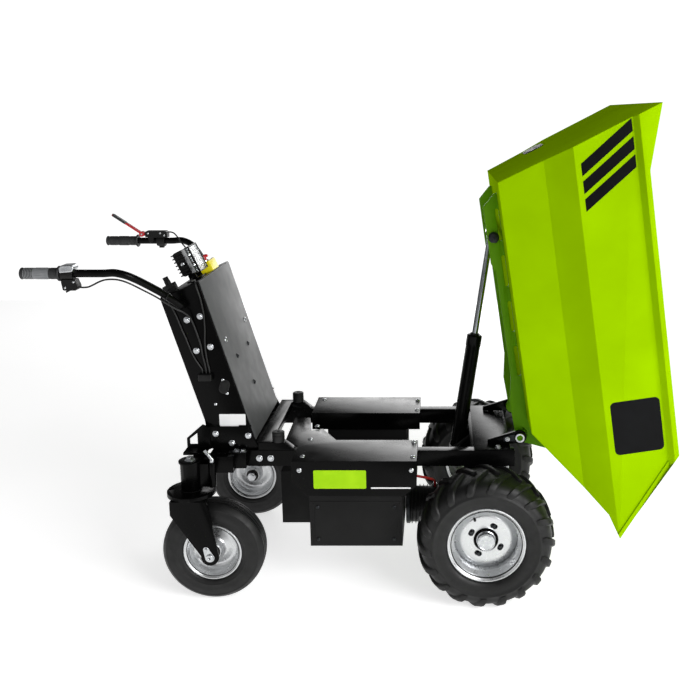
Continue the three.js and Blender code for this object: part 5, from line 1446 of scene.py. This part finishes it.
def camera():
    """The view from the near side, from above the bars and tilted down to the machine."""
    data = bpy.data.cameras.new("camera")
    data.sensor_width, data.lens = SENSOR, FOCAL_LENGTH
    data.shift_x, data.shift_y = FRAMING
    made = bpy.data.objects.new("camera", data)
    made.location = (AXLE_X + EYE[0], EYE[1], EYE[2])
    made.rotation_euler = (math.radians(90 - TILT), 0, 0)
    bpy.context.scene.collection.objects.link(made)
    bpy.context.scene.camera = made


def softbox(name, place, target, size, power):
    """A square soft light that looks at a point."""
    data = bpy.data.lights.new(name, "AREA")
    data.shape, data.size, data.energy = "SQUARE", size, power
    made = bpy.data.objects.new(name, data)
    made.location = place
    made.rotation_euler = (Vector(target) - Vector(place)).to_track_quat("-Z", "Y").to_euler()
    made.visible_camera = False
    bpy.context.scene.collection.objects.link(made)


def floor():
    """A plain matt floor, a few metres across, faintly mottled like sealed plaster."""
    bm = bmesh.new()
    bmesh.ops.create_grid(bm, x_segments=1, y_segments=1, size=FLOOR_HALF)
    made = as_object("floor", bm)
    values = {"Specular_IOR_Level": 0.1, "Emission_Strength": FLOOR_GLOW}
    material, tree, shader = start_material("pale_floor", "#f4f4f4", 0.7, **values)
    tint(tree, shader, spread(tree, cloud(tree, 400), 0, 1), ("#f2f2f2", "#f6f6f6"))
    made.data.materials.append(material)


def sky():
    """An even pale studio round everything, brighter at the horizon than overhead, before a backdrop
    that is white to the lens."""
    world = bpy.data.worlds.new("studio")
    world.use_nodes = True
    tree = world.node_tree
    tree.nodes.clear()
    place = add_node(tree, "ShaderNodeTexCoord")
    split = add_node(tree, "ShaderNodeSeparateXYZ", {}, {"Vector": place.outputs["Generated"]})
    ramp = add_node(tree, "ShaderNodeValToRGB", {}, {"Fac": split.outputs["Z"]})
    ramp.color_ramp.elements[0].color = (HORIZON, HORIZON, HORIZON, 1)
    ramp.color_ramp.elements[1].color = (OVERHEAD, OVERHEAD, OVERHEAD, 1)
    ramp.color_ramp.elements[1].position = 0.6
    seen = add_node(tree, "ShaderNodeLightPath")
    settings = {"data_type": "RGBA", 7: (BACKDROP, BACKDROP, BACKDROP, 1)}
    links = {0: seen.outputs["Is Camera Ray"], 6: ramp.outputs["Color"]}
    colour = add_node(tree, "ShaderNodeMix", settings, links)
    back = add_node(tree, "ShaderNodeBackground", {"Strength": SKY_STRENGTH}, {"Color": colour.outputs[2]})
    add_node(tree, "ShaderNodeOutputWorld", {}, {"Surface": back.outputs["Background"]})
    bpy.context.scene.world = world


camera()
floor()
sky()
softbox("key", (2.9, -2.9, 2.3), (0.1, 0, 0.6), 2.4, 155)
softbox("fill", (-2.6, -2.8, 1.8), (0.1, 0, 0.6), 2.2, 8)
softbox("back", (0.2, 5.6, 1.9), (0, 0, 0.6), 3.4, 110)
bpy.context.scene.view_settings.view_transform = "Standard"
